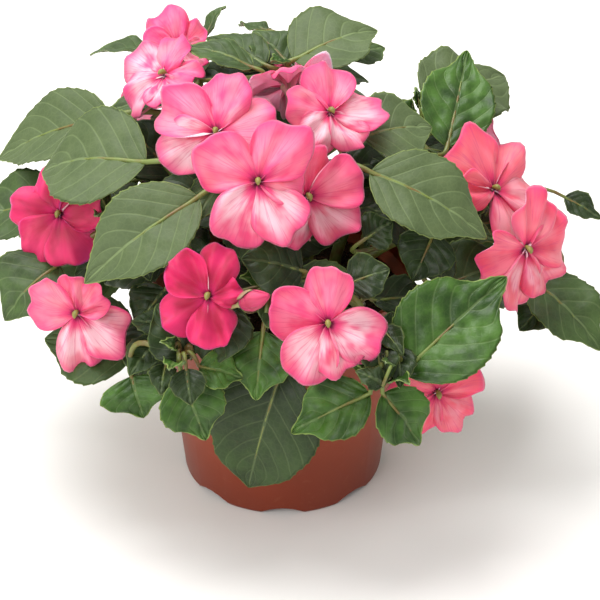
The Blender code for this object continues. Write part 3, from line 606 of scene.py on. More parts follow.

# How fresh each kind of leaf is, how much painted shade darkens it, how puckered, and how far its point is
# drawn in;
# the "deep" and "lower" leaves sit in the plant's shade
Look = namedtuple("Look", "tone dark pucker point")
LOOKS = {
    "matt": Look(0.0, 0.0, 0.35, 0.16),
    "lower": Look(0.62, 0.62, 0.4, -0.16),
    "plain": Look(0.45, 0.25, 0.6, 0.22),
    "fresh": Look(1.0, 0.0, 1.0, 0.38),
    "deep": Look(0.7, 0.75, 0.9, 0.1),
}


def leaf_frame(leaf):
    """The blade's own directions: along its midrib, across it and out of its upper face."""
    along = (leaf.tip - leaf.base).normalized()
    outward = Vector((leaf.base.x, leaf.base.y, 0)).normalized()
    upward = UP + outward * 0.45
    if leaf.base.y < 60:
        upward = UP * 0.8 + VIEW_NEAR * 0.6 + outward * 0.3
    upward = (upward - along * upward.dot(along)).normalized()
    across = along.cross(upward)
    turn = math.radians(leaf.turn)
    upper = upward * math.cos(turn) + across * math.sin(turn)
    return along, along.cross(upper), upper


def half_width(s, point):
    """How much of its full half width a blade has, s of the way from base to tip, with a drawn-in point."""
    widest = BLADE_WIDEST ** BASE_POWER * (1 - BLADE_WIDEST) ** TIP_POWER
    into_point = min(max((s - POINT_START) / (1 - POINT_START), 0), 1)
    return (1 - point * math.sin(math.pi * into_point)) * s ** BASE_POWER * (1 - s) ** TIP_POWER / widest


def leaf_point(leaf, axes, s, t, tooth=0.0):
    """A point of the blade, s of the way to the tip and t of the way to a margin."""
    along, across, upper = axes
    length = (leaf.tip - leaf.base).length
    out = t * (leaf.width / 2 * half_width(s, LOOKS[leaf.look].point) + tooth)
    side = 1 if t > 0 else -1
    rise = leaf.arch * math.sin(math.pi * s) + leaf.fold * abs(out)
    rise += leaf.wave * t * t * math.sin(5 * math.pi * s + side) * math.sin(math.pi * s)
    return leaf.base + along * (s * length) + across * out + upper * rise


def vein_number(s, t, count):
    """Counts the side veins: a whole number lies on a vein, which leaves the midrib and arches forward."""
    return (s - VEIN_LEAN * abs(t) - VEIN_ARCH * t * t + VEIN_START) * count


def relief(leaf, s, t, out, count, seed):
    """How far the surface stands out of the blade's plain curve: grooves, quilting and a slow wave."""
    pucker = LOOKS[leaf.look].pucker
    phase = vein_number(s, t, count)
    gap = abs(phase - round(phase)) * VEIN_SPACING
    inside = 1 - abs(t) ** 4
    length = (leaf.tip - leaf.base).length
    rise = -RIB_GROOVE[0] * math.exp(-(out / RIB_GROOVE[1]) ** 2) * (1 - s)
    rise += pucker * QUILTING * inside * (math.sin(math.pi * abs(phase - math.floor(phase))) - 0.5)
    rise -= VEIN_GROOVE[0] * inside * math.exp(-(gap / VEIN_GROOVE[1]) ** 2)
    spot = Vector((s * length / PUCKER_SIZE[0], out / PUCKER_SIZE[1], seed))
    rise += pucker * PUCKER_HEIGHT * inside * noise.noise(spot)
    slow = Vector((s * 2.2, t * 1.1, seed + 7))
    return rise + SLOW_WAVE * noise.noise(slow) * (0.25 + abs(t)) * math.sin(math.pi * s)


def add_leaf(shape, leaf, seed, columns):
    """One blade with its teeth, veins and puckers."""
    axes = leaf_frame(leaf)
    length = (leaf.tip - leaf.base).length
    look = LOOKS[leaf.look]
    rows = max(4, round(length / TOOTH_PITCH)) * TOOTH_ROWS
    count = max(5, round(length / VEIN_SPACING))
    grid = []
    places = []
    looks = []
    for i in range(rows + 1):
        s = i / rows
        step = (i % TOOTH_ROWS) / (TOOTH_ROWS - 1)
        tooth = TOOTH_SIZE * step ** 1.6 * math.sin(math.pi * s) ** 0.3 if 0 < i < rows else 0.0
        broad = leaf.width / 2 * half_width(s, look.point)
        row = []
        marked = []
        looked = []
        for j in range(columns + 1):
            t = 2 * j / columns - 1
            reach = t * broad
            point = leaf_point(leaf, axes, s, t, tooth * abs(t) ** 12)
            point += axes[2] * relief(leaf, s, t, reach, count, seed)
            row.append(point if 0 < i < rows else leaf_point(leaf, axes, s, 0))
            marked.append((s, reach, vein_number(s, t, count)))
            looked.append((look.tone, look.dark, min((1 - abs(t)) * broad, (1 - s) * length)))
        grid.append(row)
        places.append(marked)
        looks.append(looked)
    add_sheet(shape, grid, places, looks, axes[2] * -LEAF_THICKNESS, 0, 1)


print("kinds of leaf:", ", ".join(LOOKS))

# %% [markdown]
# Stems rise from the soil and lean out. Every leaf and bloom hangs on a stalk, which leaves its stem a
# little below it. A leaf's stalk runs on under the blade as its midrib and gets thinner toward the tip.

# %% How stems and stalks run
STEM_SIDES = 12
STALK_SIDES = 8
JOINT_DROP = 6
DROP_COST = 0.6
STEPS_UNDER_BLADE = 9


def route_points(shoot):
    """A shoot's path from the bottom of its hole in the soil to its tip."""
    x, y = shoot.route[0]
    below = Vector((x, y, SOIL_EDGE - ROOT_DEPTH))
    collar = Vector((x, y, SOIL_CROWN + 3))
    return [below, collar] + [Vector(point) for point in shoot.route[1:]]


def joint_on(path, target):
    """The place on a stem that a stalk to this target grows from, a little below it."""
    best = None
    for start, end in zip(path[1:], path[2:]):
        for i in range(9):
            point = start.lerp(end, i / 8)
            cost = (point - target).length + DROP_COST * max(0, point.z - target.z + JOINT_DROP)
            if best is None or cost < best[0]:
                best = (cost, point)
    return best[1]


def add_petiole(shape, leaf, path):
    """A leaf's stalk, which runs on under the blade as its raised midrib."""
    axes = leaf_frame(leaf)
    start = joint_on(path, leaf.base)
    control = leaf.base - axes[0] * (0.45 * (leaf.base - start).length)
    if leaf.base.z < STALK_CLEAR:
        control.z = max(control.z, STALK_CLEAR)
    route = bezier(start, control, leaf.base, 10)
    slim = min(1.0, 0.45 + leaf.width / 60)
    radii = tapered(PETIOLE_RADIUS * 1.15 * slim, PETIOLE_RADIUS * 0.85 * slim, len(route))
    for i in range(1, STEPS_UNDER_BLADE):
        s = i * 0.09
        route.append(leaf_point(leaf, axes, s, 0) - axes[2] * (0.5 + 0.35 * math.exp(-s * 8)))
        radii.append(PETIOLE_RADIUS * 0.8 * slim * (1 - s) ** 1.3)
    add_stalk(shape, route, radii, STALK_SIDES, 2)


def add_pedicel(shape, bloom, path):
    """A bloom's thin stalk, which widens to the calyx behind it."""
    facing = bloom.facing.normalized()
    end = bloom.eye - facing * (HUB_DEPTH - 0.6)
    start = joint_on(path, end)
    control = end - facing * (0.5 * (end - start).length)
    route = bezier(start, control, end - facing * 2, 10) + [end - facing, end]
    radii = [PEDICEL_RADIUS * 1.2] + [PEDICEL_RADIUS] * 10 + [1.3, CALYX_RADIUS]
    add_stalk(shape, route, radii, STALK_SIDES, 3)


print("highest shoot ends", max(shoot.route[-1][2] for shoot in SHOOTS), "mm up")

# %% [markdown]
# The middle of a busy lizzie is crowded with short leaves that hide the soil. They aren't placed one by one:
# each stem gets them by the plant's own rule, a turn of about 137 degrees from leaf to leaf, and one that
# would cross a placed leaf or a petal is left out. A few that the photograph shows are listed.

# %% The crowd of inner leaves
GOLDEN_TURN = math.radians(137.5)
INNER_STEPS = 9
INNER_CLEAR = 3.6
INNER_LENGTHS = (27.0, 21.0, 15.0)
INNER_SEED = 11
TIP_STEPS = 7
TIP_CLEAR = 2.6
TIP_LENGTH = 15.0
PLANT_REACH = (112, 74)
PLANT_HEIGHTS = (84, 168)
HAND_PLACED = [
    ("shoot_back", seen(-4, 150, 34), seen(-40, 152, 22), 24),
    ("shoot_crown_right", seen(8, 128, 38), seen(-12, 147, 40), 22),
    ("shoot_back_left", seen(-44, 112, 40), seen(-64, 134, 32), 28),
    ("shoot_right", seen(42, 97, 52), seen(60, 78, 46), 24),
    ("shoot_crown_right", seen(22, 108, 62), seen(42, 116, 58), 22),
    ("shoot_left", seen(-62, 82, 30), seen(-84, 72, 26), 24),
    ("shoot_front_right", seen(37, 46, 101), seen(40, 27, 110), 14),
    ("shoot_front_right", seen(46, 44, 98), seen(47, 27, 107), 12),
    ("shoot_front_right", seen(40, 28, 110), seen(29, 34, 112), 9),
    ("shoot_front_left", seen(-49, 47, 86), seen(-62, 32, 97), 15),
    ("shoot_front_left", seen(-47, 37, 100), seen(-49, 24, 104), 10),
]


def samples(leaf):
    """Points spread over a blade, enough to tell whether another blade crosses it."""
    axes = leaf_frame(leaf)
    shares = (0.1, 0.25, 0.4, 0.55, 0.7, 0.85, 1.0)
    return [leaf_point(leaf, axes, s, t) for s in shares for t in (-0.9, -0.45, 0, 0.45, 0.9)]


def spread_over(bloom):
    """Points spread over a bloom's disc."""
    facing = bloom.facing.normalized()
    side = facing.orthogonal().normalized()
    found = []
    for ring in (0.0, 0.3, 0.55, 0.8, 1.0):
        for k in range(14):
            turn = 2 * math.pi * k / 14
            spoke = side * math.cos(turn) + facing.cross(side) * math.sin(turn)
            found.append(bloom.eye + spoke * (bloom.length * ring))
    return found


taken = [point for leaf in LEAVES for point in samples(leaf)]
taken += [point for bloom in BLOOMS + [BUD] for point in spread_over(bloom)]
inner_leaves = []


def keep_if_clear(leaf, clearance, within=lambda point: True):
    """Take a leaf into the crowd if it is clear of what is there already."""
    spots = samples(leaf)
    if not all(within(p) for p in spots):
        return False
    if not all((p - q).length > clearance for p in spots for q in taken):
        return False
    inner_leaves.append(leaf)
    taken.extend(spots)
    return True


def amid_the_plant(point):
    """Whether a point is well inside the plant's outline."""
    beside = abs(point.x) < PLANT_REACH[0] and abs(point.y) < PLANT_REACH[1]
    return beside and PLANT_HEIGHTS[0] < point.z < PLANT_HEIGHTS[1]


random.seed(INNER_SEED)
for shoot_number, shoot in enumerate(SHOOTS):
    path = smooth_path([Vector(point) for point in shoot.route[1:]], 8)
    for step in range(INNER_STEPS):
        share = 0.02 + 0.9 * step / (INNER_STEPS - 1)
        growth = path[round(share * (len(path) - 1))]
        turn = shoot_number * 1.1 + step * GOLDEN_TURN
        # The lower inner leaves are of the kind "deep", darkened with painted shade, because the plant's
        # middle is in shade
        look = "deep" if step < 6 else "plain"
        for length in INNER_LENGTHS:
            away = Vector((math.cos(turn), math.sin(turn), random.uniform(0.0, 0.3)))
            base = growth + away * random.uniform(5, 9)
            tip = base + Vector((away.x, away.y, random.uniform(-0.35, 0.1))) * length
            found = Leaf(shoot.name, base, tip, length * 0.62, look, 2.0, 0.2, 0.0, 0.5)
            if keep_if_clear(found, INNER_CLEAR, amid_the_plant):
                break
for shoot_number, shoot in enumerate(SHOOTS):
    growth = Vector(shoot.route[-1])
    for step in range(TIP_STEPS):
        turn = shoot_number * 0.7 + step * GOLDEN_TURN
        length = TIP_LENGTH - step
        away = Vector((math.cos(turn), math.sin(turn), 0.35 + 0.1 * step)).normalized()
        base = growth + away * 4 + UP * (step * 0.8)
        found = Leaf(shoot.name, base, base + away * length, length * 0.55, "fresh", 1.0, 0.25, 0.0, 0.4)
        keep_if_clear(found, TIP_CLEAR)
# These listed leaves are darkened with painted shade too
inner_leaves += [Leaf(*row, "deep", 2.0, 0.15, 0.0, 0.8) for row in HAND_PLACED]
print("inner leaves:", len(inner_leaves))

# %% [markdown]
# A shoot is one mesh of its stem, its leaves on their stalks and the stalks of its blooms, because it is one
# piece of the CAD model. Each leaf has its own seed, so no two have the same puckers and waves.

# %% The leafy shoots
all_shoots = []
for shoot in SHOOTS:
    leafy = new_shape()
    path = route_points(shoot)
    stem = smooth_path(path, 6)
    add_stalk(leafy, stem, tapered(STEM_RADIUS, STEM_TOP_RADIUS, len(stem)), STEM_SIDES, 2)
    for crowd, columns, spacing, first in (
            (LEAVES, LEAF_COLUMNS, 3.7, 0.0),
            (inner_leaves, SMALL_LEAF_COLUMNS, 2.3, 0.5)):
        for leaf_number, leaf in enumerate(crowd):
            if leaf.shoot == shoot.name:
                add_petiole(leafy, leaf, path)
                add_leaf(leafy, leaf, leaf_number * spacing + first, columns)
    for bloom in BLOOMS + [BUD]:
        if bloom.shoot == shoot.name:
            add_pedicel(leafy, bloom, path)
    piece = finished("leafy_" + shoot.name, leafy, [leaf_face, leaf_back, stem_skin, pedicel_skin])
    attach(piece, "root")
    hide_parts(shoot.name)
    all_shoots.append(piece)
print("leafy shoots:", len(all_shoots), "with", sum(len(p.data.polygons) for p in all_shoots), "faces")

# %% [markdown]
# ## The blooms
# Petals are thin, almost see-through at the edge, and crease like silk. Fine darker veins run out from the
# eye, the middle of a petal is often nearly white, partly its own pale colour and partly painted highlight,
# most of all on the low petals, and its edge and its base are stronger pink. The colour comes from two
# marks, how far out a point is and how far to the side, so it follows each petal round.
# Light sinks a little way into a petal, which glows, most of all on its back where the sun is behind it, and
# the back is painted paler pink as well, as painted light for that glow. The real veins are a few tenths of
# a millimetre wide and are drawn about 1 mm wide, so that they show.

# %% Petal material
# The pale pink is partly the petals' own pale middle and partly painted highlight, mostly on the low petals
PALE_PINK_AND_HIGHLIGHT = "FCC6D0"
SALMON_PINK = "F0407C"
CORAL_PINK = "F54A60"
WARM_PINK = "F98A8C"
RIM_PINK = "E62C74"
VEIN_PINK = "DB3572"
DEEP_PINK = "A50336"
DEEP_PINK_LIT = "D81C5C"
THROAT_PINK = "CC1560"
EYE_PINK = "6A0A34"
PAINTED_BACKLIGHT_PINK = "FFA4BE"
PETAL_BUMP = 0.16


def petal_material(name, glow, layers_over=()):
    """
    A petal's face. Its mark "place" is how far out, how far to the side and the petal's seed; its mark
    "look" is how deep its pink is, how pale its middle and how much coral is in it.
    """
    made, node, spot = new_material(name)
    place = node("ShaderNodeAttribute", out="Vector", attribute_name="place")
    look = node("ShaderNodeAttribute", out="Vector", attribute_name="look")
    out, aside, seed = node(SEPARATE, (place,)).node.outputs
    depth, pale, coral = node(SEPARATE, (look,)).node.outputs

    # Fibres are a noise drawn out from the eye to the edge
    patches = node(NOISE, {"Vector": place, "Scale": 2.2, "Detail": 2.0})
    warm = node(NOISE, {"Vector": place, "Scale": 1.3, "Detail": 1.0, "Distortion": 0.6})
    drawn_out = node(MATH, (out, 1.6), operation="MULTIPLY")
    squeezed = node(MATH, (aside, 17.0), operation="MULTIPLY")
    streaks = node("ShaderNodeCombineXYZ", (drawn_out, squeezed, seed))
    fibre = node(NOISE, {"Vector": streaks, "Scale": 1.5, "Detail": 3.0})
    vein = node(STEP, (fibre, 0.50, 0.68), **SMOOTH)

    # The pale middle, partly the petal's own colour and partly painted highlight, lies between the throat
    # and the edge, in clouds
    cloud = node(STEP, (patches, 0.26, 0.58), **SMOOTH)
    past_throat = node(STEP, (out, 0.14, 0.40), **SMOOTH)
    short_of_edge = node(STEP, (out, 0.62, 1.0, 1.0, 0.15), **SMOOTH)
    middle = node(MATH, (past_throat, short_of_edge), operation="MULTIPLY")
    middle = node(MATH, (middle, cloud), operation="MULTIPLY")
    middle = node(MATH, (middle, pale), operation="MULTIPLY")

    # The sides and the outer edge are stronger, and so are the veins
    off_middle = node(MATH, (aside,), operation="ABSOLUTE")
    at_side = node(STEP, (off_middle, 0.66, 1.0, 0.0, 0.6), **SMOOTH)
    at_edge = node(STEP, (out, 0.84, 1.0, 0.0, 0.55), **SMOOTH)
    rim = node(MATH, (at_side, at_edge), operation="MAXIMUM")
    veins = node(MATH, (vein, 0.45), operation="MULTIPLY")
    warmth = node(STEP, (warm, 0.45, 0.70, 0.0, 0.45), **SMOOTH)

    # The deep pink blooms are lighter toward their edges, in the same clouds
    outer = node(STEP, (out, 0.3, 0.8), **SMOOTH)
    lit = node(MATH, (cloud, outer), operation="MULTIPLY")
    deep = node(MIX, {0: lit, 6: DEEP_PINK, 7: DEEP_PINK_LIT}, 2, **COLOURS)

    # The throat and the eye run out along the veins
    throat_edge = node(MATH, (vein, -0.06, out), operation="MULTIPLY_ADD")
    throat = node(STEP, (throat_edge, 0.07, 0.40, 0.9, 0.0), **SMOOTH)
    eye_edge = node(MATH, (vein, -0.05, out), operation="MULTIPLY_ADD")
    eye = node(STEP, (eye_edge, 0.05, 0.17, 1.0, 0.0), **SMOOTH)
    colour = SALMON_PINK
    for share, over in (
            (coral, CORAL_PINK), (warmth, WARM_PINK), (middle, PALE_PINK_AND_HIGHLIGHT), (rim, RIM_PINK),
            (veins, VEIN_PINK), (depth, deep), (throat, THROAT_PINK), (eye, EYE_PINK), *layers_over):
        colour = node(MIX, {0: share, 6: colour, 7: over}, 2, **COLOURS)
    soft = node(NOISE, {"Vector": spot, "Scale": 1 / (2.4 * MM), "Detail": 2.0})
    crinkle = node(MATH, (soft, 0.4), operation="MULTIPLY")
    ribs = node(MATH, (fibre, 0.8, crinkle), operation="MULTIPLY_ADD")
    surface(node, {
        "Base Color": colour,
        "Roughness": 0.55,
        "Specular IOR Level": 0.3,
        "Subsurface Weight": glow,
        "Subsurface Scale": 0.003,
        "Subsurface Radius": (1.0, 0.55, 0.6),
        "Sheen Weight": 0.12,
        "Sheen Roughness": 0.5,
    }, ribs, PETAL_BUMP, 0.6)
    return made


petal_face = petal_material("silky_petal_face", 0.3)
# Painted light: the back is mixed 45 per cent toward a pale pink, for light shining through the petal
petal_back = petal_material("silky_petal_back", 0.85, ((0.45, PAINTED_BACKLIGHT_PINK),))

# The calyx and the spur are fleshy like the stalks; the cap on the anthers is waxy, green and straw
calyx = stalk_material("spur_and_calyx_skin", "E08AA0", "B6B070")
anther_skin = clouded_material("anther_cap_waxy", 0.8, "4F5E24", "A8984E", 0.45)
print("petal materials:", petal_face.name, "and", petal_back.name)

# %% [markdown]
# A petal is a broad heart with a shallow notch. Its outline is a cosine raised to a small power, its size,
# angle and lean come from the table, and its creases and curled edge from noise and sines with its own seed.

# %% How one petal is shaped
PETAL_FULLNESS = 0.37
PETAL_ROWS = 20
PETAL_COLUMNS = 38
PETAL_FILM = 0.35
PETAL_REACH = 0.996
NOTCH_DEPTH = 0.07
NOTCH_HALF_WIDTH = 0.13
UNEVEN = 0.13
CREASE = 7.5
CURL = 0.75
EDGE_DROOP = 2.8
EYE_DIMPLE = 1.1
SMALL_PETAL = 0.85
SMALL_PETAL_SET_BACK = 1.8
UPPER_PETALS = 100


def bloom_frame(bloom):
    """The bloom's own directions: to its right, up its face, and the way it faces."""
    facing = bloom.facing.normalized()
    top = (UP - facing * facing.dot(UP)).normalized()
    return top.cross(facing), top, facing


def petal_point(bloom, axes, petal, s, t, seed):
    """A point of a petal, s of the way from the eye to its edge and t of the way to a side."""
    right, top, facing = axes
    notch = NOTCH_DEPTH * (0.4 + 0.6 * abs(math.sin(seed)))
    notch *= math.exp(-((t - 0.08 * math.sin(seed)) / NOTCH_HALF_WIDTH) ** 2)
    edge = math.cos(math.pi / 2 * t) ** PETAL_FULLNESS * (1 - notch)
    edge *= 1 + UNEVEN * noise.noise(Vector((t * 2.4, seed, 0))) * s + 0.008 * math.sin(17 * t + seed)
    radius = s * bloom.length * petal.size * edge
    turn = math.radians(petal.angle + 3 * math.sin(seed * 5))
    turn += t * PETAL_SPREAD * (1 + 0.06 * math.sin(seed * 7))

    # The petal's bowl and lean, its lap over the next petal, then ruffles, creases, ribs and a curled edge
    height = bloom.cup * radius * (1 - 0.5 * s) + 0.7 * petal.bend * radius * s
    height += PETAL_TWIST * t * (1 - abs(t) ** 6) * radius
    height -= SMALL_PETAL_SET_BACK * s if petal.size < SMALL_PETAL else 0.0
    height += bloom.ruffle * s * s * math.sin(7 * t + math.radians(petal.angle))
    height += CREASE * s ** 1.5 * noise.noise(Vector((t * 2.1, s * 1.3, seed)))
    height += 1.1 * s * math.sin(7 * t + seed) * (1 - abs(t)) + 0.9 * s ** 5 * math.sin(13 * t + seed)
    height -= EDGE_DROOP * s ** 4 * (0.35 + 0.65 * math.sin(seed * 3.3) ** 2)
    height += CURL * math.sin(seed * 2.1) * radius * max(0.0, abs(t) - 0.4) ** 2
    height -= EYE_DIMPLE * math.exp(-(s / 0.10) ** 2) + 0.3 * s * math.exp(-(t / 0.12) ** 2)
    return bloom.eye + (right * math.sin(turn) + top * math.cos(turn)) * radius + facing * height


def add_petal(shape, bloom, axes, petal, look, seed):
    """One petal with its notch, creases and ruffled edge; the low petals have the palest middles, partly
    their own colour and partly painted highlight.
    """
    depth, pale, coral = look
    if abs(petal.angle) < UPPER_PETALS:
        pale *= 0.3
    looks = [[(depth, pale, coral)] * (PETAL_COLUMNS + 1)] * (PETAL_ROWS + 1)
    turns = [math.pi / 2 * (2 * j / PETAL_COLUMNS - 1) for j in range(PETAL_COLUMNS + 1)]
    asides = [PETAL_REACH * math.sin(turn) for turn in turns]
    grid = []
    places = []
    for i in range(PETAL_ROWS + 1):
        s = (i / PETAL_ROWS) ** 0.85
        grid.append([petal_point(bloom, axes, petal, s, t if i else 0, seed) for t in asides])
        places.append([(s, t, seed) for t in asides])
    add_sheet(shape, grid, places, looks, axes[2] * -PETAL_FILM, 0, 1)


def add_heart(shape, bloom, axes):
    """The tube and spur behind a bloom, and the knob of anthers in its eye."""
    top, facing = axes[1:]
    eye = bloom.eye
    cone = [eye - facing * d for d in (0.9, 1.6, 2.6, 3.6, HUB_DEPTH)]
    add_stalk(shape, cone, [3.2, 2.9, 2.2, 1.8, 1.4], 12, 2)
    start = eye - facing * (HUB_DEPTH * 0.55)
    bend = start - facing * 5 - top * (SPUR_LENGTH * 0.5)
    end = start - facing * 2 - top * SPUR_LENGTH
    spur = bezier(start, bend, end, 10)
    add_stalk(shape, spur, tapered(1.3, 0.35, len(spur)), STALK_SIDES, 2)
    knob_foot = eye - facing * 0.8 + top * 0.9
    knob_bend = eye + facing * 2.6 + top * 1.2
    knob = bezier(knob_foot, knob_bend, eye + facing * 2.2 - top * 1.4, 6)
    add_stalk(shape, knob, [0.5, 0.7, 0.9, 1.1, 1.05, 0.75, 0.2], 10, 3)


print("a petal has", PETAL_ROWS * PETAL_COLUMNS, "faces on each side")

# %% [markdown]
# No two blooms here are quite the same pink: two are deep all over, most are pale in the middle, and those
# at the right lean to coral. A bloom is one mesh of five petals, its tube and spur, and the anthers' knob.

# %% The blooms, each with its own depth of pink, paleness and coral
USUAL_COLOURING = (0.05, 0.85, 0.25)
COLOURING = {
    "bloom_far_left": (0.85, 0.15, 0.0),
    "bloom_deep_pink": (0.95, 0.1, 0.0),
    "bloom_far_right": (0.05, 0.5, 0.9),
    "bloom_low_right": (0.05, 0.6, 0.8),
    "bloom_bottom_right": (0.1, 0.4, 0.9),
    "bloom_high_left": (0.0, 0.8, 0.0),
    "bloom_highest": (0.0, 0.8, 0.0),
    "bloom_upper_left": (0.0, 1.0, 0.0),
    "bloom_middle_right": (0.25, 0.9, 0.3),
    "bloom_back_left": (0.3, 0.5, 0.2),
}
for bloom_number, bloom in enumerate(BLOOMS):
    flower = new_shape()
    axes = bloom_frame(bloom)
    look = COLOURING.get(bloom.name, USUAL_COLOURING)
    for petal_number, petal in enumerate(bloom.petals):
        add_petal(flower, bloom, axes, petal, look, bloom_number * 5.3 + petal_number * 1.7)
    add_heart(flower, bloom, axes)
    piece = finished("fine_" + bloom.name, flower, [petal_face, petal_back, calyx, anther_skin])
    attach(piece, "root")
    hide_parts(bloom.name)
print("blooms:", len(BLOOMS))

# %% [markdown]
# ## The bud
# The one bud that shows is an egg of rolled deep pink petals held by two pale sepals. The roll is a sheet
# wound round the bud's axis, so its free edge shows as a spiral ridge.

# %% The bud
BUD_LOOK = (0.7, 0.3, 0.4)
BUD_WRAPS = 3
WRAP_ROWS = 16
WRAP_COLUMNS = 20
SEPAL_ROWS = 8
BUD_FILM = 0.3
bud_petals = new_shape()
right, top, facing = bloom_frame(BUD)
bud_foot = BUD.eye - facing * HUB_DEPTH
for wrap in range(BUD_WRAPS):
    grid = []
    places = []
    for i in range(WRAP_ROWS + 1):
        s = i / WRAP_ROWS
        row = []
        marked = []
        for j in range(WRAP_COLUMNS + 1):
            round_bud = j / WRAP_COLUMNS
            turn = wrap * 2.1 + 3.0 * round_bud + s
            swell = 4.1 * math.sin(math.pi * (0.06 + 0.93 * s)) ** 0.75 * (1 - 0.38 * s)
            swell += 0.45 * round_bud * math.sin(math.pi * s)
            spoke = right * math.cos(turn) + top * math.sin(turn)
            row.append(bud_foot + facing * (BUD.length * s) + spoke * swell)
            marked.append((0.35 + 0.6 * s, 2 * round_bud - 1, wrap * 2.0))
        grid.append(row)
        places.append(marked)
    looks = [[BUD_LOOK] * (WRAP_COLUMNS + 1)] * (WRAP_ROWS + 1)
    add_sheet(bud_petals, grid, places, looks, facing * -BUD_FILM, 0, 0)
core = [bud_foot + facing * (BUD.length * s) for s in (0.02, 0.15, 0.35, 0.6, 0.8, 0.94)]
add_stalk(bud_petals, core, [1.8, 3.0, 3.8, 3.1, 1.9, 0.5], 16, 0, BUD_LOOK)
for side in (-1, 1):
    grid = []
    for i in range(SEPAL_ROWS + 1):
        s = i / SEPAL_ROWS
        reach = 0.35 + 3.9 * math.sin(math.pi * (0.1 + 0.6 * s)) ** 0.8
        spread = 0.85 * math.sin(math.pi * min(s * 0.9 + 0.1, 1)) + 0.02
        turns = [side * 1.4 + spread * k / 3 for k in range(-3, 4)]
        grid.append([bud_foot + facing * (7.5 * s - 0.6) + (right * math.cos(a) + top * math.sin(a)) * reach
                     for a in turns])
    unmarked = [[NO_MARK] * len(turns)] * (SEPAL_ROWS + 1)
    add_sheet(bud_petals, grid, unmarked, unmarked, facing * -BUD_FILM, 1, 1)
bud = finished("rolled_bud", bud_petals, [petal_face, pedicel_skin])
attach(bud, "root")
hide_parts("bud")
print("bud:", len(bud.data.polygons), "faces")

# %% [markdown]
# ## The pot
# A nursery pot is injection moulded in polypropylene coloured like terracotta. It leaves the mould with a
# satin skin, softly rounded corners and arches round its foot that let water run out. It is turned from a
# profile by a Screw modifier, as the solid is, with far more steps and a rolled rim, and the arches and
# drain holes are cut by Booleans.

# %% Pot material
# The colour of moulded plastic wanders a little over a few centimetres and fine dust lies on it, and the
# wall is darkened toward the foot with painted shade
pot_plastic, node, spot = new_material("moulded_polypropylene_terracotta")
cloud = node(NOISE, {"Vector": spot, "Scale": 1 / (26.0 * MM), "Detail": 3.0})
dust_noise = node(NOISE, {"Vector": spot, "Scale": 1 / (3.0 * MM), "Detail": 5.0})
dust = node(STEP, (dust_noise, 0.56, 0.80, 0.0, 0.10), **SMOOTH)
# Painted shade: the wall darkens toward the floor over its lowest 50 mm
painted_foot_shade = node(STEP, (node(SEPARATE, (spot,), "Z"), 0.0, 0.05, 0.6, 0.0), **SMOOTH)
colour = "923B1B"
for share, over in ((cloud, "883516"), (painted_foot_shade, "611D09"), (dust, "B07A5C")):
    colour = node(MIX, {0: share, 6: colour, 7: over}, 2, **COLOURS)
roughness = node(MATH, (cloud, 0.08, 0.40), operation="MULTIPLY_ADD")
mould_grain = node(NOISE, {"Vector": spot, "Scale": 1 / (0.7 * MM), "Detail": 3.0})
shader = {"Base Color": colour, "Roughness": roughness, "Specular IOR Level": 0.35}
surface(node, shader, mould_grain, 0.03, 0.5)
print("pot material:", pot_plastic.name)

# %% [markdown]
# The profile starts in the middle of the floor, climbs the inside, crosses the rim, comes down the outside
# and ends under the floor. Its corners are rounded from the last to the first, so that the corners still to
# come keep their numbers.

# %% The pot's profile
POT_TURNS = 160
BAND_FLARE = 2.5
BAND_STEP = 1.2
MERGE_DISTANCE = 0.00001


def rounded(profile, corner, radius, steps=4):
    """The same profile with one corner turned into a small arc."""
    before, point, after = (Vector(profile[corner + i]) for i in (-1, 0, 1))
    start = point + (before - point).normalized() * radius
    end = point + (after - point).normalized() * radius
    arc = bezier(start, point, end, steps)
    return profile[:corner] + [tuple(p) for p in arc] + profile[corner + 1:]


band_foot = POT_HEIGHT - BAND_DEPTH
wall_top = FOOT_RADIUS + WALL_SLOPE * band_foot
inner_foot = FOOT_RADIUS - FOOT_RING
floor_top = FLOOR_HEIGHT + FLOOR_THICKNESS
profile = [
    (0, floor_top),
    (inner_foot, floor_top),
    (wall_top - WALL, band_foot),
    (BAND_RADIUS - WALL, band_foot + BAND_FLARE),
    (BAND_RADIUS - WALL, POT_HEIGHT),
    (BAND_RADIUS, POT_HEIGHT),
    (BAND_RADIUS, band_foot),
    (wall_top, band_foot - BAND_STEP),
    (FOOT_RADIUS, 0),
    (inner_foot, 0),
    (inner_foot, FLOOR_HEIGHT),
    (0, FLOOR_HEIGHT),
]
for corner, radius in ((9, 0.5), (8, 1.6), (7, 0.8), (6, 0.8), (5, 0.7), (4, 0.7), (1, 1.5)):
    profile = rounded(profile, corner, radius)
pot_mesh = bpy.data.meshes.new("turned_pot")
pot_edges = [(i, i + 1) for i in range(len(profile) - 1)]
pot_mesh.from_pydata([(r * MM, 0, z * MM) for r, z in profile], pot_edges, [])
pot = bpy.data.objects.new("turned_pot", pot_mesh)
scene.collection.objects.link(pot)
screw = pot.modifiers.new("Screw", "SCREW")
screw.steps = POT_TURNS
screw.render_steps = POT_TURNS
screw.use_merge_vertices = True
screw.merge_threshold = MERGE_DISTANCE
print("pot profile:", len(profile), "points, turned in", POT_TURNS, "steps")

# %% [markdown]
# Each arch is cut by a prism with a bowed top, pushed out through the foot's ring, and each drain hole by an
# upright one through the floor. Edges sharper than 35 degrees stay sharp, and all others are smooth.

# %% The arches and drain holes, and the cut
ARCH_POINTS = 17
HOLE_POINTS = 24
SHARP_ANGLE = math.radians(35)


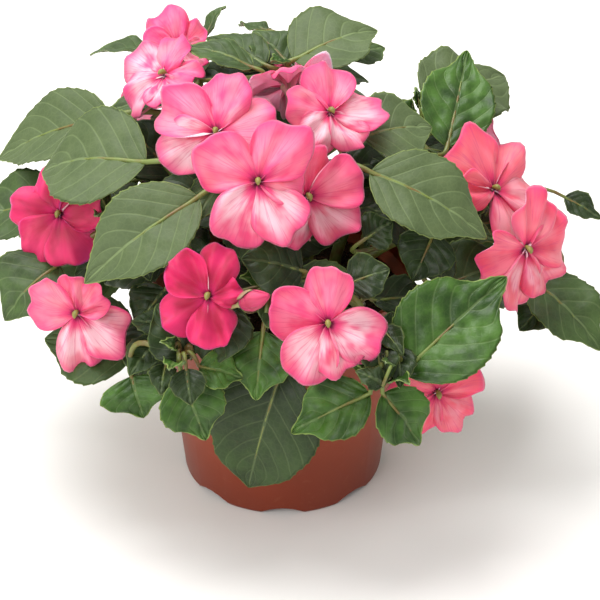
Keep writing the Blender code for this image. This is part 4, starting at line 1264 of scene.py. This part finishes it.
def plain(source, name):
    """What an object's modifiers make, as a plain mesh object in its place."""
    bpy.context.view_layer.update()
    graph = bpy.context.evaluated_depsgraph_get()
    mesh = bpy.data.meshes.new_from_object(source.evaluated_get(graph), depsgraph=graph)
    made = bpy.data.objects.new(name, mesh)
    scene.collection.objects.link(made)
    bpy.data.objects.remove(source)
    return made


def spoke_at(angle):
    """The level direction at this angle round the pot."""
    return Vector((math.cos(angle), math.sin(angle), 0))


def add_prism(shape, outline, low, high):
    """A closed prism from an outline of points, pushed from low to high by two offsets."""
    count = len(outline)
    first = [put(shape, p + low) for p in outline]
    last = [put(shape, p + high) for p in outline]
    face(shape, first[::-1])
    face(shape, last)
    for i in range(count):
        j = (i + 1) % count
        face(shape, (first[i], first[j], last[j], last[i]))


half = NOTCH_WIDTH / 2
arch_radius = (half * half + NOTCH_HEIGHT ** 2) / (2 * NOTCH_HEIGHT)
arch_reach = math.asin(half / arch_radius)
cutters = new_shape()
for notch in range(NOTCHES):
    angle = math.radians(-90) + 2 * math.pi * notch / NOTCHES
    away = spoke_at(angle)
    beside = Vector((-away.y, away.x, 0))
    foot_line = ((1.25, 1.5), (-1.25, 1.5), (-1.12, 0.1))
    outline = [beside * (half * out) - UP * below for out, below in foot_line]
    for i in range(ARCH_POINTS):
        bow = -arch_reach + 2 * arch_reach * i / (ARCH_POINTS - 1)
        lift = NOTCH_HEIGHT - arch_radius + arch_radius * math.cos(bow)
        crown = 0.25 * (1 - abs(i - 8) / 8)
        outline.append(beside * (arch_radius * math.sin(bow)) + UP * (lift + crown))
    outline.append(beside * (half * 1.12) - UP * 0.1)
    add_prism(cutters, outline[::-1], away * (inner_foot - 2), away * (FOOT_RADIUS + 3))
for hole in range(DRAIN_HOLES):
    middle = spoke_at(2 * math.pi * hole / DRAIN_HOLES) * DRAIN_CIRCLE
    ring = [middle + spoke_at(2 * math.pi * k / HOLE_POINTS) * DRAIN_RADIUS for k in range(HOLE_POINTS)]
    add_prism(cutters, ring, UP * (FLOOR_HEIGHT - 1), UP * (floor_top + 1))
cutter = finished("foot_arches_and_drains", cutters, [])
boolean = pot.modifiers.new("Arches", "BOOLEAN")
boolean.operation = "DIFFERENCE"
boolean.object = cutter
pot = plain(pot, "moulded_pot")
bpy.data.objects.remove(cutter)
pot.data.materials.clear()
pot.data.materials.append(pot_plastic)
pot.data.shade_smooth()
pot.data.set_sharp_from_angle(angle=SHARP_ANGLE)
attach(pot, "root")
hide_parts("pot")
print("pot:", len(pot.data.polygons), "faces")

# %% [markdown]
# ## The soil
# Potting soil is dark peat with fibre crumbs and a few white grains of perlite. The surface is turned from
# the CAD soil's profile and made uneven, and Geometry Nodes scatter the crumbs over it, because they repeat
# by the hundred.

# %% Soil materials
# Moist peat is nearly black and has no shine, with crumbs about 1 mm wide; perlite is chalky and off-white
CRUMB_SIZE = 1.3
peat, node, spot = new_material("peat_potting_soil")
crumbs = node(NOISE, {"Vector": spot, "Scale": 1 / (CRUMB_SIZE * MM), "Detail": 6.0})
lighter = node(STEP, (crumbs, 0.35, 0.7), **SMOOTH)
colour = node(MIX, {0: lighter, 6: "1C130D", 7: "4A3526"}, 2, **COLOURS)
surface(node, {"Base Color": colour, "Roughness": 0.95, "Specular IOR Level": 0.15}, crumbs, 0.8)
perlite = clouded_material("perlite_grain", 0.8, "D8D2C4", "A79F90", 0.85)
print("soil materials:", peat.name, "and", perlite.name)

# %% [markdown]
# The soil's top is nearly flat in the middle and sinks toward the wall, where water has settled it. Noise
# makes it uneven by about 1 mm, in lumps about 5 mm wide.

# %% The soil
SOIL_SIDES = 72
SOIL_RINGS = 21
FLAT_SHARE = 0.55
FLAT_DROP = 0.8
EDGE_DROP = 2.7
UNEVENNESS = 0.9
LUMP_SIZE = 5
soil_edge = wall_top - WALL - GAP
soil_foot = inner_foot - GAP
soil_floor = floor_top + GAP
soil_profile = [
    (0, soil_floor),
    (soil_foot * 0.5, soil_floor),
    (soil_foot, soil_floor),
    (soil_edge, SOIL_EDGE - 1.0),
]
for i in range(1, SOIL_RINGS + 1):
    share = 1 - i / SOIL_RINGS
    height = SOIL_CROWN - FLAT_DROP * share / FLAT_SHARE
    if share >= FLAT_SHARE:
        height = SOIL_CROWN - FLAT_DROP - EDGE_DROP * (share - FLAT_SHARE) / (1 - FLAT_SHARE)
    soil_profile.append((soil_edge * share, height))
soil_shape = new_shape()
rings = []
for r, z in soil_profile:
    ring = []
    for k in range(SOIL_SIDES if r else 1):
        angle = 2 * math.pi * k / SOIL_SIDES
        x = r * math.cos(angle)
        y = r * math.sin(angle)
        lift = 0.0
        if z > SOIL_EDGE - 0.9:
            lift = UNEVENNESS * noise.noise(Vector((x / LUMP_SIZE, y / LUMP_SIZE, 3)))
        ring.append(put(soil_shape, Vector((x, y, z + lift))))
    rings.append(ring)
for lower, upper in zip(rings, rings[1:]):
    for k in range(SOIL_SIDES):
        corners = [ring[place % len(ring)] for ring, place in
                   ((lower, k), (lower, k + 1), (upper, k + 1), (upper, k))]
        face(soil_shape, corners)
soil = finished("peat_soil", soil_shape, [peat])
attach(soil, "root")
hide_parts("soil")
print("soil:", len(soil.data.polygons), "faces")

# %% [markdown]
# The node tree takes the soil, the size of a crumb and the number of crumbs per square metre. It scatters
# points over the faces that look up and sets a small ball on each, turned and stretched at random from a
# fixed seed. The balls are made real and get their material, and the result is kept as a plain mesh.

# %% Crumbs scattered on the soil
FACING_UP = 0.6


def scatter(name, density, size, finish, seed):
    """Crumbs scattered over the soil's top by Geometry Nodes, as one plain mesh."""
    tree = bpy.data.node_groups.new(name, "GeometryNodeTree")
    tree.interface.new_socket("Surface", in_out="OUTPUT", socket_type="NodeSocketGeometry")
    given_values = {}
    for title, kind, value in (
            ("Soil", "NodeSocketObject", soil),
            ("Crumb size", "NodeSocketFloat", size * MM),
            ("Crumbs per square metre", "NodeSocketFloat", density)):
        given_values[tree.interface.new_socket(title, in_out="INPUT", socket_type=kind).identifier] = value
    node = partial(add, tree)
    given = node("NodeGroupInput").node.outputs
    source = node("GeometryNodeObjectInfo", {"Object": given["Soil"]}, "Geometry")
    upward = node(SEPARATE, (node("GeometryNodeInputNormal"),), "Z")
    on_top = node("FunctionNodeCompare", {0: upward, 1: FACING_UP}, operation="GREATER_THAN")
    spread = node("GeometryNodeDistributePointsOnFaces", {
        "Mesh": source,
        "Selection": on_top,
        "Density": given["Crumbs per square metre"],
        "Seed": seed,
    }, "Points")
    ball = node("GeometryNodeMeshIcoSphere", {"Radius": given["Crumb size"], "Subdivisions": 1}, "Mesh")
    turns = {0: (0, 0, 0), 1: (6.3, 6.3, 6.3), "Seed": seed}
    stretches = {0: (0.4, 0.5, 0.4), 1: (1.6, 1.2, 0.9), "Seed": seed + 1}
    placed = node("GeometryNodeInstanceOnPoints", {
        "Points": spread,
        "Instance": ball,
        "Rotation": node("FunctionNodeRandomValue", turns, data_type="FLOAT_VECTOR"),
        "Scale": node("FunctionNodeRandomValue", stretches, data_type="FLOAT_VECTOR"),
    })
    solid = node("GeometryNodeRealizeInstances", {"Geometry": placed})
    dressed = node("GeometryNodeSetMaterial", {"Geometry": solid, "Material": finish})
    node("NodeGroupOutput", {"Surface": dressed})
    holder = bpy.data.objects.new(name + "_holder", bpy.data.meshes.new(name))
    scene.collection.objects.link(holder)
    nodes = holder.modifiers.new("Scatter", "NODES")
    nodes.node_group = tree
    for identifier, value in given_values.items():
        nodes[identifier] = value
    made = plain(holder, name)
    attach(made, "root")
    print(name + ":", len(made.data.polygons), "faces")


scatter("peat_crumbs", 120000.0, 1.1, peat, 4)
scatter("perlite_grains", 5000.0, 1.2, perlite, 9)

# %% [markdown]
# ## Floor and light
# The plant stands on a white sweep under a large soft lamp, above and a little behind it on the left, with
# white all round. The floor is bright enough to come out pure white, and the plant's own shadow is the only
# grey in it.

# %% Floor, world and lamps
FLOOR_REACH = 4
ROOM_WHITE = (1, 0.995, 0.985, 1)
ROOM_STRENGTH = 0.71
LAMP_AIM = Vector((0, 0, 0.09))

# Matt paper, whose tone hardly drifts over half a metre
white = clouded_material("matt_white_sweep", 400.0, "F4F2EF", "F2F0ED", 0.9, 0.1)
corners = [(x * FLOOR_REACH, y * FLOOR_REACH, 0) for x, y in ((-1, -1), (1, -1), (1, 1), (-1, 1))]
floor_mesh = bpy.data.meshes.new("sweep")
floor_mesh.from_pydata(corners, [], [(0, 1, 2, 3)])
floor_mesh.materials.append(white)
sweep = bpy.data.objects.new("sweep", floor_mesh)
scene.collection.objects.link(sweep)

world = bpy.data.worlds.new("white_room")
scene.world = world
world.use_nodes = True
background = world.node_tree.nodes["Background"].inputs
background["Color"].default_value = ROOM_WHITE
background["Strength"].default_value = ROOM_STRENGTH

for name, place, size, power in (
        ("key_above_left", (-0.30, 0.26, 1.35), 1.0, 20.5),
        ("front_fill", (-0.8, -1.1, 0.9), 0.8, 10.0)):
    data = bpy.data.lights.new(name, "AREA")
    data.shape = "DISK"
    data.size = size
    data.energy = power
    lamp = bpy.data.objects.new(name, data)
    lamp.location = place
    lamp.rotation_euler = (LAMP_AIM - Vector(place)).to_track_quat("-Z", "Y").to_euler()
    scene.collection.objects.link(lamp)
scene.view_settings.view_transform = "Standard"
scene.view_settings.look = "None"
scene.view_settings.exposure = 0.0
print("lamps:", len(bpy.data.lights))
